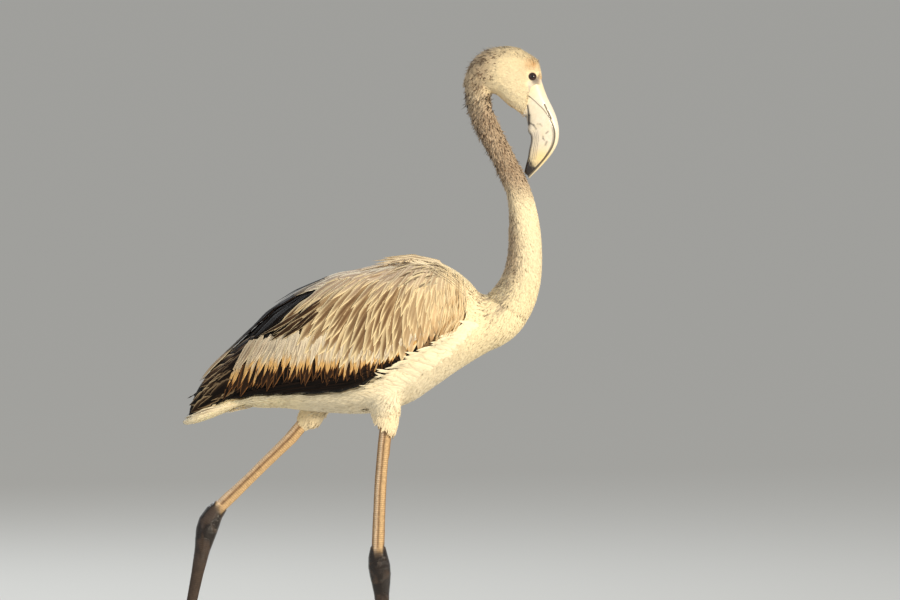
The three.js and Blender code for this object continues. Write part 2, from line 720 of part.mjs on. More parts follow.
const neckNames = ['neck_upper', 'neck_middle', 'neck_lower'];
neckNames.forEach((name, i) => {
  const length = limb(neckCourse, neckCuts[i] + GAP / 2, neckCuts[i + 1] - GAP / 2, NECK_STEPS, NECK_SIDES);
  flamingo.add(named(name, length, i === 0 ? TAN : CREAM));
});
flamingo.add(named('trunk', makeTrunk(), CREAM));

for (const [word, side] of [['right', -1], ['left', 1]]) {
  const layer = wingLayer(side);
  flamingo.add(named(`wing_${word}`, layer.intersect(above(COVERT_EDGE, GAP / 2)), TAN));
  flamingo.add(named(`flight_feathers_${word}`, layer.subtract(above(COVERT_EDGE, -GAP / 2)), UMBER));
}
flamingo.add(named('tail', makeTail(), CREAM));

for (const [word, rows, foot, side] of [
  ['right', RIGHT_LEG, RIGHT_FOOT, -1],
  ['left', LEFT_LEG, LEFT_FOOT, 1],
]) {
  const course = byDistance(rows, 3);
  const stops = [0, ...LEG_CUTS.map((place) => distanceAt(course, place)), course[course.length - 1][0]];
  ['thigh', 'shank', 'ankle', 'tarsus'].forEach((part, i) => {
    const from = i === 0 ? 0 : stops[i] + GAP / 2;
    const to = i === 3 ? stops[i + 1] : stops[i + 1] - GAP / 2;
    let length = limb(course, from, to, LEG_STEPS[i], LIMB_SIDES);
    if (part === 'thigh') {
      length = length.subtract(trunkGrown).subtract(wingSpace);
    }
    flamingo.add(named(`${part}_${word}`, length, part === 'thigh' ? CREAM : LEG_BROWN, 0.6));
  });
  flamingo.add(named(`foot_${word}`, makeFoot(foot, course, side), LEG_BROWN, 0.6));
}

export default flamingo;
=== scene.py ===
"""A young greater flamingo at life size, in mid stride, with its coat of feathers.

Lengths are metres unless a name ends in _MM. +X is the way the bird faces, +Y is its left, +Z is up.
Places in side view are (column, row) in the 900 by 600 picture, where one step is 1.25 mm of the
bird's middle plane. The steps are: a smooth form through the CAD solids, one skin inside it, small
tufts rooted on the skin, long vanes for wings, back and tail, then bill, eyes and claws.
"""

import math
from collections import namedtuple
import bpy
import numpy as np
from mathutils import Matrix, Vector
from mathutils.bvhtree import BVHTree


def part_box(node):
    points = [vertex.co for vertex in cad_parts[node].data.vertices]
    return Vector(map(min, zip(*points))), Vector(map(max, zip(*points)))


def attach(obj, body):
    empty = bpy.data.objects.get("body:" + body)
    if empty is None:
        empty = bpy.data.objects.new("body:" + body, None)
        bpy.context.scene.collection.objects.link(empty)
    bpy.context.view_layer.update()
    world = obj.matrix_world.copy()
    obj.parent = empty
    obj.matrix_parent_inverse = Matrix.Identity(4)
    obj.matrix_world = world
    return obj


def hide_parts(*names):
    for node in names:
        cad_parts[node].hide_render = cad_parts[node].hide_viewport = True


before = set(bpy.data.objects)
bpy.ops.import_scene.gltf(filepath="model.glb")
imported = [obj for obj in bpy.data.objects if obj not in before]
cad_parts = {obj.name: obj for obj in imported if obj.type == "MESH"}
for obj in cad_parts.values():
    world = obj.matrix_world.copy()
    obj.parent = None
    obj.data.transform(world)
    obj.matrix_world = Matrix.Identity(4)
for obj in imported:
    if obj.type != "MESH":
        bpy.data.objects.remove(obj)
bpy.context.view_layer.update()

random = np.random.default_rng(20)  # every part draws from it in turn, in the order at the end

# ---------------------------------------------------------------- sizes and places
MM = 0.001
STEP = 1.25 * MM  # one column or row of the picture, on the bird
MIDDLE_COLUMN = 355.5
FLOOR_ROW = 773
CENTRING_MM = 5.6  # from the measures of bill and legs to the frame, along X

SIDES = {"right": -1, "left": 1}
FLESH = ["head", "neck_upper", "neck_middle", "neck_lower", "trunk", "tail"]
PAIRED_FLESH = ["wing", "flight_feathers", "thigh"]
PAIRED_LIMBS = ["shank", "ankle", "tarsus", "foot"]
FEATHERED = FLESH + [f"{part}_{side}" for part in PAIRED_FLESH for side in SIDES]
LIMBS = [f"{part}_{side}" for part in PAIRED_LIMBS for side in SIDES]

# How deep the coat is over the skin, by node.
COAT_MM = {
    "head": 1.3, "neck_upper": 1.9, "neck_middle": 2.1, "neck_lower": 2.6, "trunk": 3.6,
    "tail": 2.6, "wing": 4.2, "flight_feathers": 4.2, "thigh": 2.4,
}
SCUTE_MM = 2.6  # from one row of leg scutes to the next
SHANK_RADIUS = 7.9 * MM
GROOVE_DEPTH = 0.8 * MM  # of the groove down each shank
ABOVE_FLOOR = 0.05 * MM  # as low as the feet reach
BODY_VOXEL = 1.35 * MM  # how fine the form of body and legs is
LIMB_VOXEL = 0.85 * MM
BASE_SINK = 2.4 * MM  # how far under the form's surface the lowest vanes run
LAYER = 0.22 * MM  # how much higher each row of a tract lies than the row before it
FLOW_MARKS = 17  # places kept along each line of a tract
SPINE_MARKS = 200  # places kept along the middle line
BAKE_PATCH = 0.003  # how wide each feather's patch is on the OFBake map
BESIDE_BIRD = 0.4  # where rays cast at the bird from one side start
NEAR_MIDDLE = 12 * MM  # where a place past the bird's outline is taken to be
ABOVE_BIRD_MM = 700  # where rays cast down at the back start
RUMP_HEIGHT = 0.45  # where a feather past the form's end is taken to be
SHAFT_HEIGHT = 0.15 * MM  # how far a vane's shaft stands out of it
MAP_RUN = 400  # how far apart, in mm, the Vane maps of two feathers can start
MANTLE_ROWS = 23  # rows of feathers from rump to neck
MANTLE_HALF_WIDTH_MM = [(-200, -150, -94, 0, 100, 150), (5, 9, 10, 26, 44, 46)]  # at each X
VANE_STATIONS = 13
VANE_COLUMNS = 7

# Lines in side view along which the feathers lie, each from root to tip. A wing's tract is a list
# of such lines side by side.
SCAPULAR_FLOW = [
    [(392, 261), (352, 270), (322, 284), (297, 304), (274, 327)],
    [(398, 263), (362, 278), (336, 299), (315, 322), (297, 345)],
    [(406, 264), (380, 283), (359, 307), (343, 334), (327, 359)],
    [(415, 265), (396, 284), (381, 309), (371, 336), (360, 361)],
    [(425, 267), (413, 284), (404, 305), (397, 330), (391, 361)],
    [(436, 270), (429, 285), (424, 303), (420, 323), (416, 347)],
    [(447, 276), (443, 290), (440, 304), (437, 320), (433, 339)],
    [(459, 286), (458, 297), (456, 308), (452, 321), (447, 334)],
]
COVERT_FLOW = [
    [(249, 338), (233, 366), (220, 396)],
    [(272, 336), (259, 361), (249, 390)],
    [(292, 332), (283, 359), (276, 385)],
    [(314, 333), (308, 358), (303, 382)],
    [(338, 335), (332, 359), (328, 381)],
    [(360, 338), (354, 359), (349, 378)],
    [(384, 342), (378, 358), (374, 373)],
    [(404, 335), (400, 347), (396, 360)],
    [(430, 320), (424, 333), (419, 346)],
]
REAR_FLOW = [
    [(255, 333), (237, 343), (220, 355)],
    [(258, 340), (232, 357), (206, 373)],
    [(252, 351), (226, 370), (198, 389)],
    [(242, 368), (218, 385), (191, 405)],
    [(232, 388), (213, 401), (189, 415)],
]
BAND_FLOW = [
    [(418, 342), (392, 356), (346, 372), (290, 382), (232, 394)],
    [(418, 348), (396, 366), (350, 384), (290, 391), (228, 400)],
]
PATCH_FLOW = [
    [(324, 276), (296, 289), (264, 311), (241, 337)],
    [(338, 283), (312, 301), (290, 320), (269, 337)],
]
STREAKED_FLOW = [
    [(316, 298), (299, 310), (281, 322), (260, 334)],
    [(320, 309), (311, 317), (300, 327), (289, 338)],
]
SHOULDER_FLOW = [
    [(446, 277), (443, 300), (440, 320), (434, 340)],
    [(465, 287), (466, 302), (462, 318), (450, 335)],
]
TAIL_FLOW = [
    [(262, 396), (235, 402), (208, 408), (186, 418)],
    [(262, 402), (235, 407), (208, 413), (184, 422)],
    [(262, 406), (238, 411), (212, 416), (190, 421)],
]
FLANK_FLOW = [
    [(372, 397), (360, 393), (347, 391)],
    [(400, 385), (386, 379), (370, 377)],
    [(428, 365), (412, 358), (394, 359)],
    [(454, 346), (440, 342), (424, 344)],
    [(478, 322), (467, 321), (455, 329)],
]
HUMP_FLOW = [
    [(466, 285), (452, 271), (434, 263)],
    [(463, 294), (447, 280), (427, 270)],
]
RUFF_FLOW = [
    [(440, 261), (414, 255), (386, 257)],
    [(434, 267), (406, 262), (378, 266)],
]
BODY_FLOWS = [
    [(541, 80), (540, 66), (530, 53), (508, 46), (484, 52), (468, 72), (463, 95)],
    [(526, 78), (510, 75), (494, 72), (482, 84), (474, 112)],
    [(526, 92), (510, 92), (494, 90)],
    [(526, 108), (512, 102), (500, 92), (488, 88)],
    [(464, 95), (470, 120), (483, 150), (497, 180), (507, 210), (512, 250), (508, 285), (488, 303)],
    [(479, 105), (493, 145), (508, 178), (525, 210), (537, 240), (540, 270), (530, 305), (505, 332)],
    [(488, 303), (470, 308), (455, 330), (425, 362), (400, 380)],
    [(505, 332), (480, 352), (455, 375), (425, 396), (385, 405)],
    [(400, 390), (360, 398), (300, 400), (250, 404), (205, 415)],
    [(392, 402), (388, 420), (384, 440)],
    [(330, 402), (318, 414), (302, 430)],
    [(488, 290), (460, 270), (425, 258), (385, 260), (340, 270)],
]
LIE = BODY_FLOWS + SCAPULAR_FLOW + COVERT_FLOW + REAR_FLOW + BAND_FLOW + PATCH_FLOW

# The middle line that the coat's map runs along, from crown to tail.
SPINE = [
    (540, 80), (505, 72), (476, 86), (477, 112), (486, 145), (500, 175), (512, 205), (519, 235),
    (521, 265), (517, 293), (502, 318), (470, 325), (420, 332), (350, 340), (290, 355),
    (235, 380), (180, 420),
]

# The middle of each leg, from the thigh down to the toes' root, before centring.
LEG_LINES_MM = {
    "right": [(32, -36, 456), (32.5, -35, 432), (30.5, -34, 415), (25.4, -30.5, 355), (22.6, -26, 284),
              (24.8, -23.5, 254), (27.6, -21.5, 214), (43, -8.5, 24)],
    "left": [(-44, 37, 474), (-61, 36, 447), (-87, 34, 416), (-118, 32, 386), (-174, 27.5, 332),
             (-192, 26, 303), (-200.5, 25, 265), (-241, 18, 74)],
}
ANKLE_TOP_MM = {"right": 284, "left": 332}  # height of each ankle's upper end
UNDER_HEM_MM = {"right": 24, "left": 4}  # how far each shank runs up under the thigh's feathers


# ---------------------------------------------------------------- colours
def colour(red, green, blue):
    """A colour as the eye reads it, 0 to 255, turned into the linear light that shaders use."""
    shown = np.array([red, green, blue]) / 255
    return np.where(shown > 0.04045, ((shown + 0.055) / 1.055) ** 2.4, shown / 12.92)


WHITE = colour(246, 232, 200)
CREAM = colour(240, 224, 188)
CHEEK = colour(246, 228, 187)
CROWN = colour(228, 209, 176)
BUFF = colour(222, 176, 122)
LORE = colour(112, 102, 98)
FLECK = colour(96, 72, 54)
NECK_TAN = colour(204, 180, 148)
NECK_GREY = colour(150, 132, 116)
# Painted bluish shade on the nape's edge:
NAPE_SHADE = colour(98, 98, 110)
TAN = colour(184, 154, 114)
PALE_EDGE = colour(240, 218, 172)
LILAC = colour(199, 182, 165)
GOLD = colour(222, 178, 112)
ORANGE_BROWN = colour(170, 112, 58)
BROWN = colour(98, 70, 46)
DARK_BROWN = colour(52, 35, 24)
BLACK = colour(13, 10, 9)
COVERT = colour(222, 206, 178)
SHANK = colour(204, 170, 124)
# Painted shade on the shanks' edges, and a painted highlight:
SHANK_EDGE_SHADE = colour(126, 90, 58)
SHANK_HIGHLIGHT = colour(230, 208, 184)
SHANK_GROOVE = colour(112, 78, 52)
# Painted light from below, under the tail:
VENT_BOUNCE_LIGHT = colour(255, 238, 196)
BREAST = colour(244, 226, 182)
MUD = colour(196, 180, 152)
CHIN = colour(226, 190, 140)
# Painted shade on the lower thigh:
THIGH_SHADE = colour(236, 208, 160)
ANKLE = colour(30, 22, 17)
TARSUS = colour(84, 66, 52)
HORN = colour(232, 222, 206)
HORN_YELLOW = colour(232, 214, 160)
HORN_AMBER = colour(240, 205, 128)
HORN_DARK = colour(38, 31, 28)
HORN_GREY = colour(140, 130, 122)
PUPIL = colour(12, 9, 8)
IRIS = colour(52, 26, 20)
LID_RIM = colour(46, 35, 32)

# Areas of the bird in side view, for its markings.
WING_OUTLINE = [
    (182, 420), (190, 395), (205, 368), (228, 340), (250, 318), (285, 290), (330, 268),
    (385, 258), (420, 255), (448, 268), (463, 290), (462, 318), (450, 338), (415, 352),
    (380, 376), (340, 391), (240, 396), (205, 408),
]
REAR_AREA = [
    (180, 424), (186, 395), (203, 366), (226, 338), (250, 332), (256, 345), (238, 385), (226, 400),
]
COVERT_AREA = [
    (252, 338), (300, 333), (350, 326), (372, 340), (350, 356), (300, 362), (240, 374),
]
DARK_BAND = [
    (222, 402), (236, 376), (262, 366), (300, 360), (350, 354), (378, 346), (412, 336),
    (416, 354), (385, 378), (350, 390), (300, 394), (250, 396),
]
BLACK_PATCH = [
    (336, 268), (326, 286), (306, 302), (288, 318), (266, 336), (238, 336), (262, 306), (300, 278),
]
SHOULDER_AREA = [(442, 288), (466, 288), (466, 322), (452, 338), (438, 344), (436, 325)]
NECK_BASE = [(490, 276), (512, 276), (520, 296), (500, 318), (482, 304)]
BARE_FACE = [(527, 81), (541, 79), (548, 88), (540, 100), (530, 114), (528.5, 104), (529.5, 90)]
# The line of the folded wing's front and lower edge.
WING_EDGE = [(466, 292), (457, 326), (404, 348), (366, 368)]


# ---------------------------------------------------------------- small sums
def from_picture(places):
    """x and z in metres for rows of (column, row)."""
    places = np.asarray(places, float)
    return (places[..., 0] - MIDDLE_COLUMN) * STEP, (FLOOR_ROW - places[..., 1]) * STEP


def to_picture(points):
    """(column, row) of points seen from the side."""
    return np.stack([points[:, 0] / STEP + MIDDLE_COLUMN, FLOOR_ROW - points[:, 2] / STEP], 1)


def unit(vectors):
    """The vectors at a length of one."""
    return vectors / np.maximum(np.linalg.norm(vectors, axis=-1, keepdims=True), 1e-12)


def dot(a, b):
    """Products of vectors row by row, kept as a last axis of one."""
    return (a * b).sum(-1, keepdims=True)


def flattened(vectors, normals):
    """The vectors turned into the surface that the normals stand on."""
    return unit(vectors - normals * dot(vectors, normals))


def ease(values, low, high):
    """A smooth step from 0 at `low` to 1 at `high`."""
    t = np.clip((values - low) / (high - low), 0, 1)
    return t * t * (3 - 2 * t)


def mix(a, b, share):
    """Colours between a and b, by one share for each."""
    share = np.asarray(share)[..., None]
    return a * (1 - share) + b * share


def hill(values, width):
    """1 at nought, falling smoothly to nothing about twice `width` away."""
    return np.exp(-((values / width) ** 2))


def within(places, outline):
    """Which places lie inside a closed outline."""
    inside = np.zeros(len(places), bool)
    x, y = places[:, 0], places[:, 1]
    for (x0, y0), (x1, y1) in zip(outline, outline[1:] + outline[:1]):
        if y0 == y1:
            continue
        crosses = (y0 > y) != (y1 > y)
        inside ^= crosses & (x < (x1 - x0) * (y - y0) / (y1 - y0) + x0)
    return inside


def nearest_on(places, start, end):
    """The nearest point on a straight line for each place, how far along it is, and the gap."""
    start, end = np.array(start, float), np.array(end, float)
    along = end - start
    share = np.clip(((places - start) @ along) / (along @ along), 0, 1)
    found = start + share[:, None] * along
    return found, share, np.linalg.norm(places - found, axis=1)


def from_line(places, start, end):
    """Distance of each place from a straight line between two others."""
    return nearest_on(places, start, end)[2]


def from_place(places, middle, reach):
    """1 at a place in side view, falling smoothly to nothing about twice `reach` away."""
    return hill(np.linalg.norm(places - middle, axis=1), reach)


def hashed(cells, seed):
    """A number from 0 to 1 for each whole-number cell, the same on every run."""
    x, y, z = (cells[..., i].astype(np.int64) for i in range(3))
    n = (x * 73856093) ^ (y * 19349663) ^ (z * 83492791) ^ (seed * 2654435761)
    n = ((n ^ (n >> 13)) * 1274126177) & 0xFFFFFFFF
    return ((n ^ (n >> 15)) & 0xFFFF) / 65535


def cloud(points, size, seed=1):
    """Smooth noise from 0 to 1, with blotches about `size` across."""
    scaled = points / size
    cell = np.floor(scaled).astype(int)
    part = scaled - cell
    part = part * part * (3 - 2 * part)
    total = np.zeros(len(points))
    for corner in np.ndindex(2, 2, 2):
        share = np.prod(np.where(corner, part, 1 - part), axis=1)
        total += share * hashed(cell + np.array(corner), seed)
    return total


def through(rows, places):
    """A smooth run through equally spaced rows, read at places from 0 to the last row's number."""
    rows = np.asarray(rows, float)
    low = np.clip(np.floor(places).astype(int), 0, len(rows) - 2)
    t = (np.asarray(places) - low)[:, None]
    slopes = np.gradient(rows, axis=0)
    start, end = rows[low], rows[low + 1]
    leave, arrive = slopes[low], slopes[low + 1]
    return (
        (2 * t**3 - 3 * t**2 + 1) * start
        + (t**3 - 2 * t**2 + t) * leave
        + (3 * t**2 - 2 * t**3) * end
        + (t**3 - t**2) * arrive
    )


def run_of(line):
    """How far along a broken line each of its corners is."""
    return np.append(0, np.cumsum(np.linalg.norm(np.diff(line, axis=0), axis=1)))


def along_line(line, share):
    """Places at the given shares of a broken line's length."""
    line = np.asarray(line, float)
    run = run_of(line)
    wanted = np.asarray(share) * run[-1]
    return np.stack([np.interp(wanted, run, line[:, i]) for i in range(line.shape[1])], -1)


# ---------------------------------------------------------------- meshes
def grid_faces(rows, columns, closed=False):
    """Quads between the points of a grid. A closed grid runs on from its last column to its first."""
    start = np.arange(rows - 1)[:, None] * columns
    column = np.arange(columns if closed else columns - 1)
    here, beside = start + column, start + (column + 1) % columns
    return np.stack([here, here + columns, beside + columns, beside], -1).reshape(-1, 4)


def turned_over(quads):
    """The same quads, facing the other way."""
    return quads[:, [0, 3, 2, 1]]


def repeated(faces, count, size):
    """The faces once for each of `count` shapes that have `size` points."""
    return (faces[None] + (np.arange(count) * size)[:, None, None]).reshape(-1, faces.shape[1])


def read(items, field, width, kind):
    """One field of a mesh's vertices, corners or triangles, as rows of `width` values."""
    values = np.empty(len(items) * width, kind)
    items.foreach_get(field, values)
    return values.reshape(-1, width)


def mesh_of(name, points, faces):
    """A smooth-shaded mesh from arrays of points and faces."""
    mesh = bpy.data.meshes.new(name)
    mesh.vertices.add(len(points))
    mesh.vertices.foreach_set("co", points.astype(np.float32).ravel())
    mesh.loops.add(faces.size)
    mesh.loops.foreach_set("vertex_index", faces.astype(np.int32).ravel())
    mesh.polygons.add(len(faces))
    starts = np.arange(0, faces.size, faces.shape[1], dtype=np.int32)
    mesh.polygons.foreach_set("loop_start", starts)
    mesh.update(calc_edges=True)
    mesh.shade_smooth()
    return mesh


def paint(mesh, name, colours):
    """Stores one colour for each vertex."""
    layer = mesh.color_attributes.new(name, "FLOAT_COLOR", "POINT")
    filled = np.ones((len(mesh.vertices), 4), np.float32)
    filled[:, :3] = np.clip(colours, 0, 1)
    layer.data.foreach_set("color", filled.ravel())


def lay_map(mesh, name, places):
    """Stores a UV map from one place for each vertex."""
    corners = read(mesh.loops, "vertex_index", 1, np.int32)[:, 0]
    layer = mesh.uv_layers.new(name=name, do_init=False)
    layer.uv.foreach_set("vector", places[corners].astype(np.float32).ravel())


def piece(name, mesh, material):
    """One piece of the visual model, on the bird's only body."""
    made = bpy.data.objects.new(name, mesh)
    bpy.context.scene.collection.objects.link(made)
    mesh.materials.append(material)
    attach(made, "root")
    return made


def node_mesh(names):
    """The triangles of some CAD nodes, and which node each triangle is from."""
    points, faces, owners = [], [], []
    start = 0
    for number, name in enumerate(names):
        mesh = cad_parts[name].data
        mesh.calc_loop_triangles()
        triangles = read(mesh.loop_triangles, "vertices", 3, np.int32)
        points.append(read(mesh.vertices, "co", 3, np.float32))
        faces.append(triangles + start)
        owners.append(np.full(len(triangles), number))
        start += len(mesh.vertices)
    return np.concatenate(points), np.concatenate(faces), np.concatenate(owners)


class Surface:
    """A mesh held as arrays, with its normals and a way to find the nearest point on it."""

    def __init__(self, points, faces):
        self.points = points
        self.faces = faces
        self.measure()

    def measure(self):
        """Finds the faces' areas, the points' normals and the tree."""
        corners = self.points[self.faces]
        across = np.cross(corners[:, 2] - corners[:, 0], corners[:, -1] - corners[:, 1])
        if self.faces.shape[1] == 3:
            across = np.cross(corners[:, 1] - corners[:, 0], corners[:, 2] - corners[:, 0])
        self.area = np.linalg.norm(across, axis=1) / 2
        total = np.zeros_like(self.points)
        for corner in self.faces.T:
            for axis in range(3):
                total[:, axis] += np.bincount(corner, across[:, axis], len(self.points))
        self.normals = unit(total)
        self.tree = BVHTree.FromPolygons(self.points.tolist(), self.faces.tolist())

    def nearest(self, points):
        """The nearest surface points and the smooth normals there."""
        found = [self.tree.find_nearest(place) for place in points.tolist()]
        places = np.array([hit[0] for hit in found])
        normals = self.normals[self.faces[[hit[2] for hit in found]]].mean(1)
        return places, unit(normals)

    def from_side(self, places, side):
        """Surface points seen at (column, row) places by someone beside the bird."""
        x, z = from_picture(places)
        hits = []
        for here_x, here_z in zip(x.tolist(), z.tolist()):
            origin = Vector((here_x, side * BESIDE_BIRD, here_z))
            hit = self.tree.ray_cast(origin, Vector((0, -side, 0)))
            if hit[0] is None or hit[0].y * side < 0:
                hit = self.tree.find_nearest(Vector((here_x, side * NEAR_MIDDLE, here_z)))
                hits.append((here_x, hit[0].y, here_z))
            else:
                hits.append(tuple(hit[0]))
        return np.array(hits)


def voxel_form(names, voxel):
    """One closed quad surface round some CAD nodes."""
    points, faces, _ = node_mesh(names)
    source = bpy.data.objects.new("form", mesh_of("form", points, faces))
    bpy.context.scene.collection.objects.link(source)
    remesh = source.modifiers.new("form", "REMESH")
    remesh.mode = "VOXEL"
    remesh.voxel_size = voxel
    evaluated = source.evaluated_get(bpy.context.evaluated_depsgraph_get())
    mesh = evaluated.to_mesh()
    places = read(mesh.vertices, "co", 3, np.float32).astype(float)
    quads = read(mesh.loops, "vertex_index", 1, np.int32).reshape(-1, 4)
    evaluated.to_mesh_clear()
    data = source.data
    bpy.data.objects.remove(source)
    bpy.data.meshes.remove(data)
    return places, quads


def edges_of(faces):
    """The start and end vertices of a quad mesh's edges, each edge once."""
    pairs = np.concatenate([faces[:, [i, (i + 1) % 4]] for i in range(4)])
    return np.unique(np.sort(pairs, 1), axis=0).T


def softened(values, edges, share, rounds):
    """Moves each vertex's values towards the mean of its neighbours'."""
    start, end = edges
    count = len(values)
    degree = np.bincount(start, minlength=count) + np.bincount(end, minlength=count)
    for _ in range(rounds):
        mean = np.empty_like(values)
        for axis in range(values.shape[1]):
            column = values[:, axis]
            total = np.bincount(start, column[end], count) + np.bincount(end, column[start], count)
            mean[:, axis] = total / degree
        values = values + share[:, None] * (mean - values)
    return values


def smoothed(points, edges, share, rounds):
    """Rounds off facets, then gives back what the larger shapes lost."""
    first = softened(points, edges, share, rounds)
    return first + softened(points - first, edges, share, rounds)


# ---------------------------------------------------------------- the form and the skin
cad_points, cad_faces, cad_owner = node_mesh(FEATHERED + LIMBS)
cad_tree = BVHTree.FromPolygons(cad_points.tolist(), cad_faces.tolist())


def regions(points):
    """The name of the nearest CAD node, without its side, for each point."""
    names = [name.removesuffix("_right").removesuffix("_left") for name in FEATHERED + LIMBS]
    found = [cad_tree.find_nearest(place)[2] for place in points.tolist()]
    return np.array(names)[cad_owner[found]]


def make_form():
    """The outer form of the coat, smoothed most on the trunk and least on the head."""
    points, faces = voxel_form(FEATHERED, BODY_VOXEL)
    edges = edges_of(faces)
    where = regions(points)
    share = np.full(len(points), 0.85)
    share[np.char.startswith(where, "neck")] = 0.35
    share[(where == "tail") | (where == "thigh")] = 0.25
    share[where == "head"] = 0.06
    share = softened(share[:, None], edges, np.full(len(points), 0.5), 12)[:, 0]
    surface = Surface(smoothed(points, edges, share, 90), faces)
    seen = to_picture(points)
    puff = 4 * from_place(seen, (317, 421), 9) * (where == "thigh") * (points[:, 1] > 0)
    brow = 1.8 * from_place(seen, (543.5, 67), 11) * (where == "head")
    points = surface.points + surface.normals * ((puff + brow) * MM)[:, None]
    return Surface(points, faces), where, edges


form, form_region, form_edges = make_form()

eye_boxes = {side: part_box(f"eye_{side}") for side in SIDES}
eyes = {side: np.array((low + high) / 2) for side, (low, high) in eye_boxes.items()}
EYE_RADIUS = (eye_boxes["right"][1].x - eye_boxes["right"][0].x) / 2


def from_eye(points):
    """Distance from the nearer eye's middle."""
    return np.minimum(*[np.linalg.norm(points - eyes[side], axis=1) for side in SIDES])


def bare(points, where):
    """1 on the naked face, 0 under feathers."""
    seen = to_picture(points)
    on_head = where == "head"
    rim = 1 - ease(from_eye(points), 6.6 * MM, 7.8 * MM)
    face = within(seen, BARE_FACE).astype(float)
    return np.where(on_head, np.maximum(rim, face), 0.0)


def from_leg(points, side):
    """The nearest places on a leg's middle line, and how far down the leg they are."""
    line = np.array(LEG_LINES_MM[side]) * MM + [CENTRING_MM * MM, 0, 0]
    run = run_of(line)
    nearest = np.full(len(points), np.inf)
    places = np.zeros_like(points)
    down = np.zeros(len(points))
    for start, end, begun, ended in zip(line, line[1:], run, run[1:]):
        place, share, gap = nearest_on(points, start, end)
        closer = gap < nearest
        nearest = np.where(closer, gap, nearest)
        places = np.where(closer[:, None], place, places)
        down = np.where(closer, begun + share * (ended - begun), down)
    return places, down


def bare_thigh(points, where):
    """1 on the end of the right thigh that shows as leg below the feathers' hem."""
    column, row = to_picture(points).T
    return ease(row - 0.5 * (column - 377), 422, 427) * (where == "thigh") * (column > 350)


def coat_depth():
    """How deep the coat is at each point of the form."""
    depth = np.array([COAT_MM.get(name, 0) for name in form_region]) * MM
    depth = depth * (1 - bare(form.points, form_region))
    return softened(depth[:, None], form_edges, np.full(len(depth), 0.6), 14)[:, 0]


form_depth = coat_depth()


# ---------------------------------------------------------------- markings
def spine_place(points):
    """How far along the middle line each point is, 0 to 1, and how many columns in front of it."""
    seen = to_picture(points)
    line = along_line(SPINE, np.linspace(0, 1, SPINE_MARKS))
    nearest = ((seen[:, None, :] - line[None]) ** 2).sum(2).argmin(1)
    offset = seen - line[nearest]
    direction = unit(np.gradient(line, axis=0)[nearest])
    front = offset[:, 0] * direction[:, 1] - offset[:, 1] * direction[:, 0]
    return nearest / (SPINE_MARKS - 1), front


def hindmost(seen):
    """1 on the mottled back of the head, 0 on the smooth cheek."""
    return 1 - ease(seen[:, 0] + 0.25 * seen[:, 1], 500, 523)


def crown_top(seen):
    """1 on the top of the crown in side view, 0 on the face."""
    column, row = seen.T
    return 1 - ease(row - 0.012 * (column - 507) ** 2, 50, 60)


def body_markings(points, where, column, row):
    """Cream, whiter below, a little mud along the belly, and painted light from below under the tail."""
    low = mix(CREAM, WHITE, ease(row, 330, 390))
    on_body = np.isin(where, ["trunk", "tail", "thigh"])
    found = np.where(on_body[:, None], low, np.tile(CREAM, (len(points), 1)))
    # Brighter, warmer cream under the tail: painted light thrown up from below.
    vent_bounce_light = ease(row, 394, 400) * (1 - ease(column, 290, 330)) * ease(column, 190, 215)
    found = mix(found, VENT_BOUNCE_LIGHT, vent_bounce_light)
    found = mix(found, BREAST, 0.55 * ease(column, 440, 500) * ease(row, 250, 300))
    dirt = ease(cloud(points, 9 * MM, 3), 0.62, 0.9) * ease(row, 380, 395) * 0.35
    return mix(found, MUD, np.where(where == "trunk", dirt, 0))


def neck_markings(found, points, where, fine):
    """Tan-grey on the upper neck, grey down the hind neck to the mottled base, partly painted shade, and
    painted bluish shade on the nape's edge.
    """
    seen = to_picture(points)
    column, row = seen.T
    _, front = spine_place(points)
    is_neck = np.char.startswith(where, "neck")
    upper = is_neck * (1 - ease(row, 172, 205)) * (0.7 + 0.3 * ease(row, 92, 112))
    found = mix(found, mix(NECK_TAN, NECK_GREY, 0.48), upper)
    # Greyer down the hind neck: partly the neck's own grey, partly painted shade on the side turned from
    # the light.
    back = is_neck * ease(row, 168, 200) * (1 - ease(front, -7, 5)) * (1 - ease(row, 252, 290))
    found = mix(found, mix(NECK_GREY, NECK_TAN, fine), back * 0.8)
    # Painted bluish shade along the hind edge of neck and head, the side turned from the light.
    nape = (is_neck | (where == "head")) * (1 - ease(front, -12, -7)) * (column < 525)
    nape = nape * (1 - 0.75 * ease(row, 180, 220))
    found = mix(found, NAPE_SHADE, nape * 0.8)
    return mix(found, NECK_GREY, within(seen, NECK_BASE) * ease(fine, 0.4, 0.8) * 0.7)


def head_markings(found, seen, head, fine):
    """Pale cheek, mottled crown, buff brow, grey lore and the horn colour of the naked face."""
    column, row = seen.T
    skull = mix(CHEEK, CROWN, ease(130 - row - 0.9 * column + 370, 0, 24))
    skull = mix(skull, CREAM, ease(column, 500, 512) * ease(row, 62, 74) * 0.5)
    skull = mix(skull, mix(NECK_TAN, NECK_GREY, 0.25), hindmost(seen) * 0.8)
    skull = mix(skull, NECK_TAN, 0.4 * crown_top(seen) * fine)
    brow = hill(column - 533, 7) * hill(row - 65, 6)
    skull = mix(skull, BUFF, brow * (0.35 + 0.75 * fine))
    chin = np.exp(-from_line(seen, (506, 106), (524, 116)) ** 2 / 20)
    skull = mix(skull, CHIN, 0.45 * chin)
    skull = mix(skull, BUFF, 0.5 * hill(column - 541, 3) * hill(row - 80, 5))
    lore = np.exp(-(((column - 535.5) / 5) ** 4) - ((row - 80.5) / 4.2) ** 4)
    skull = mix(skull, LORE, 0.9 * lore)
    found = np.where(head[:, None], skull, found)
    naked = head & within(seen, BARE_FACE)
    found = mix(found, mix(HORN, HORN_GREY, 0.12), naked * (1 - lore) * 0.85)
    seam = hill(from_line(seen, (529.3, 86), (529.9, 98)), 1.1)
    return mix(found, LORE, 0.55 * seam * head)


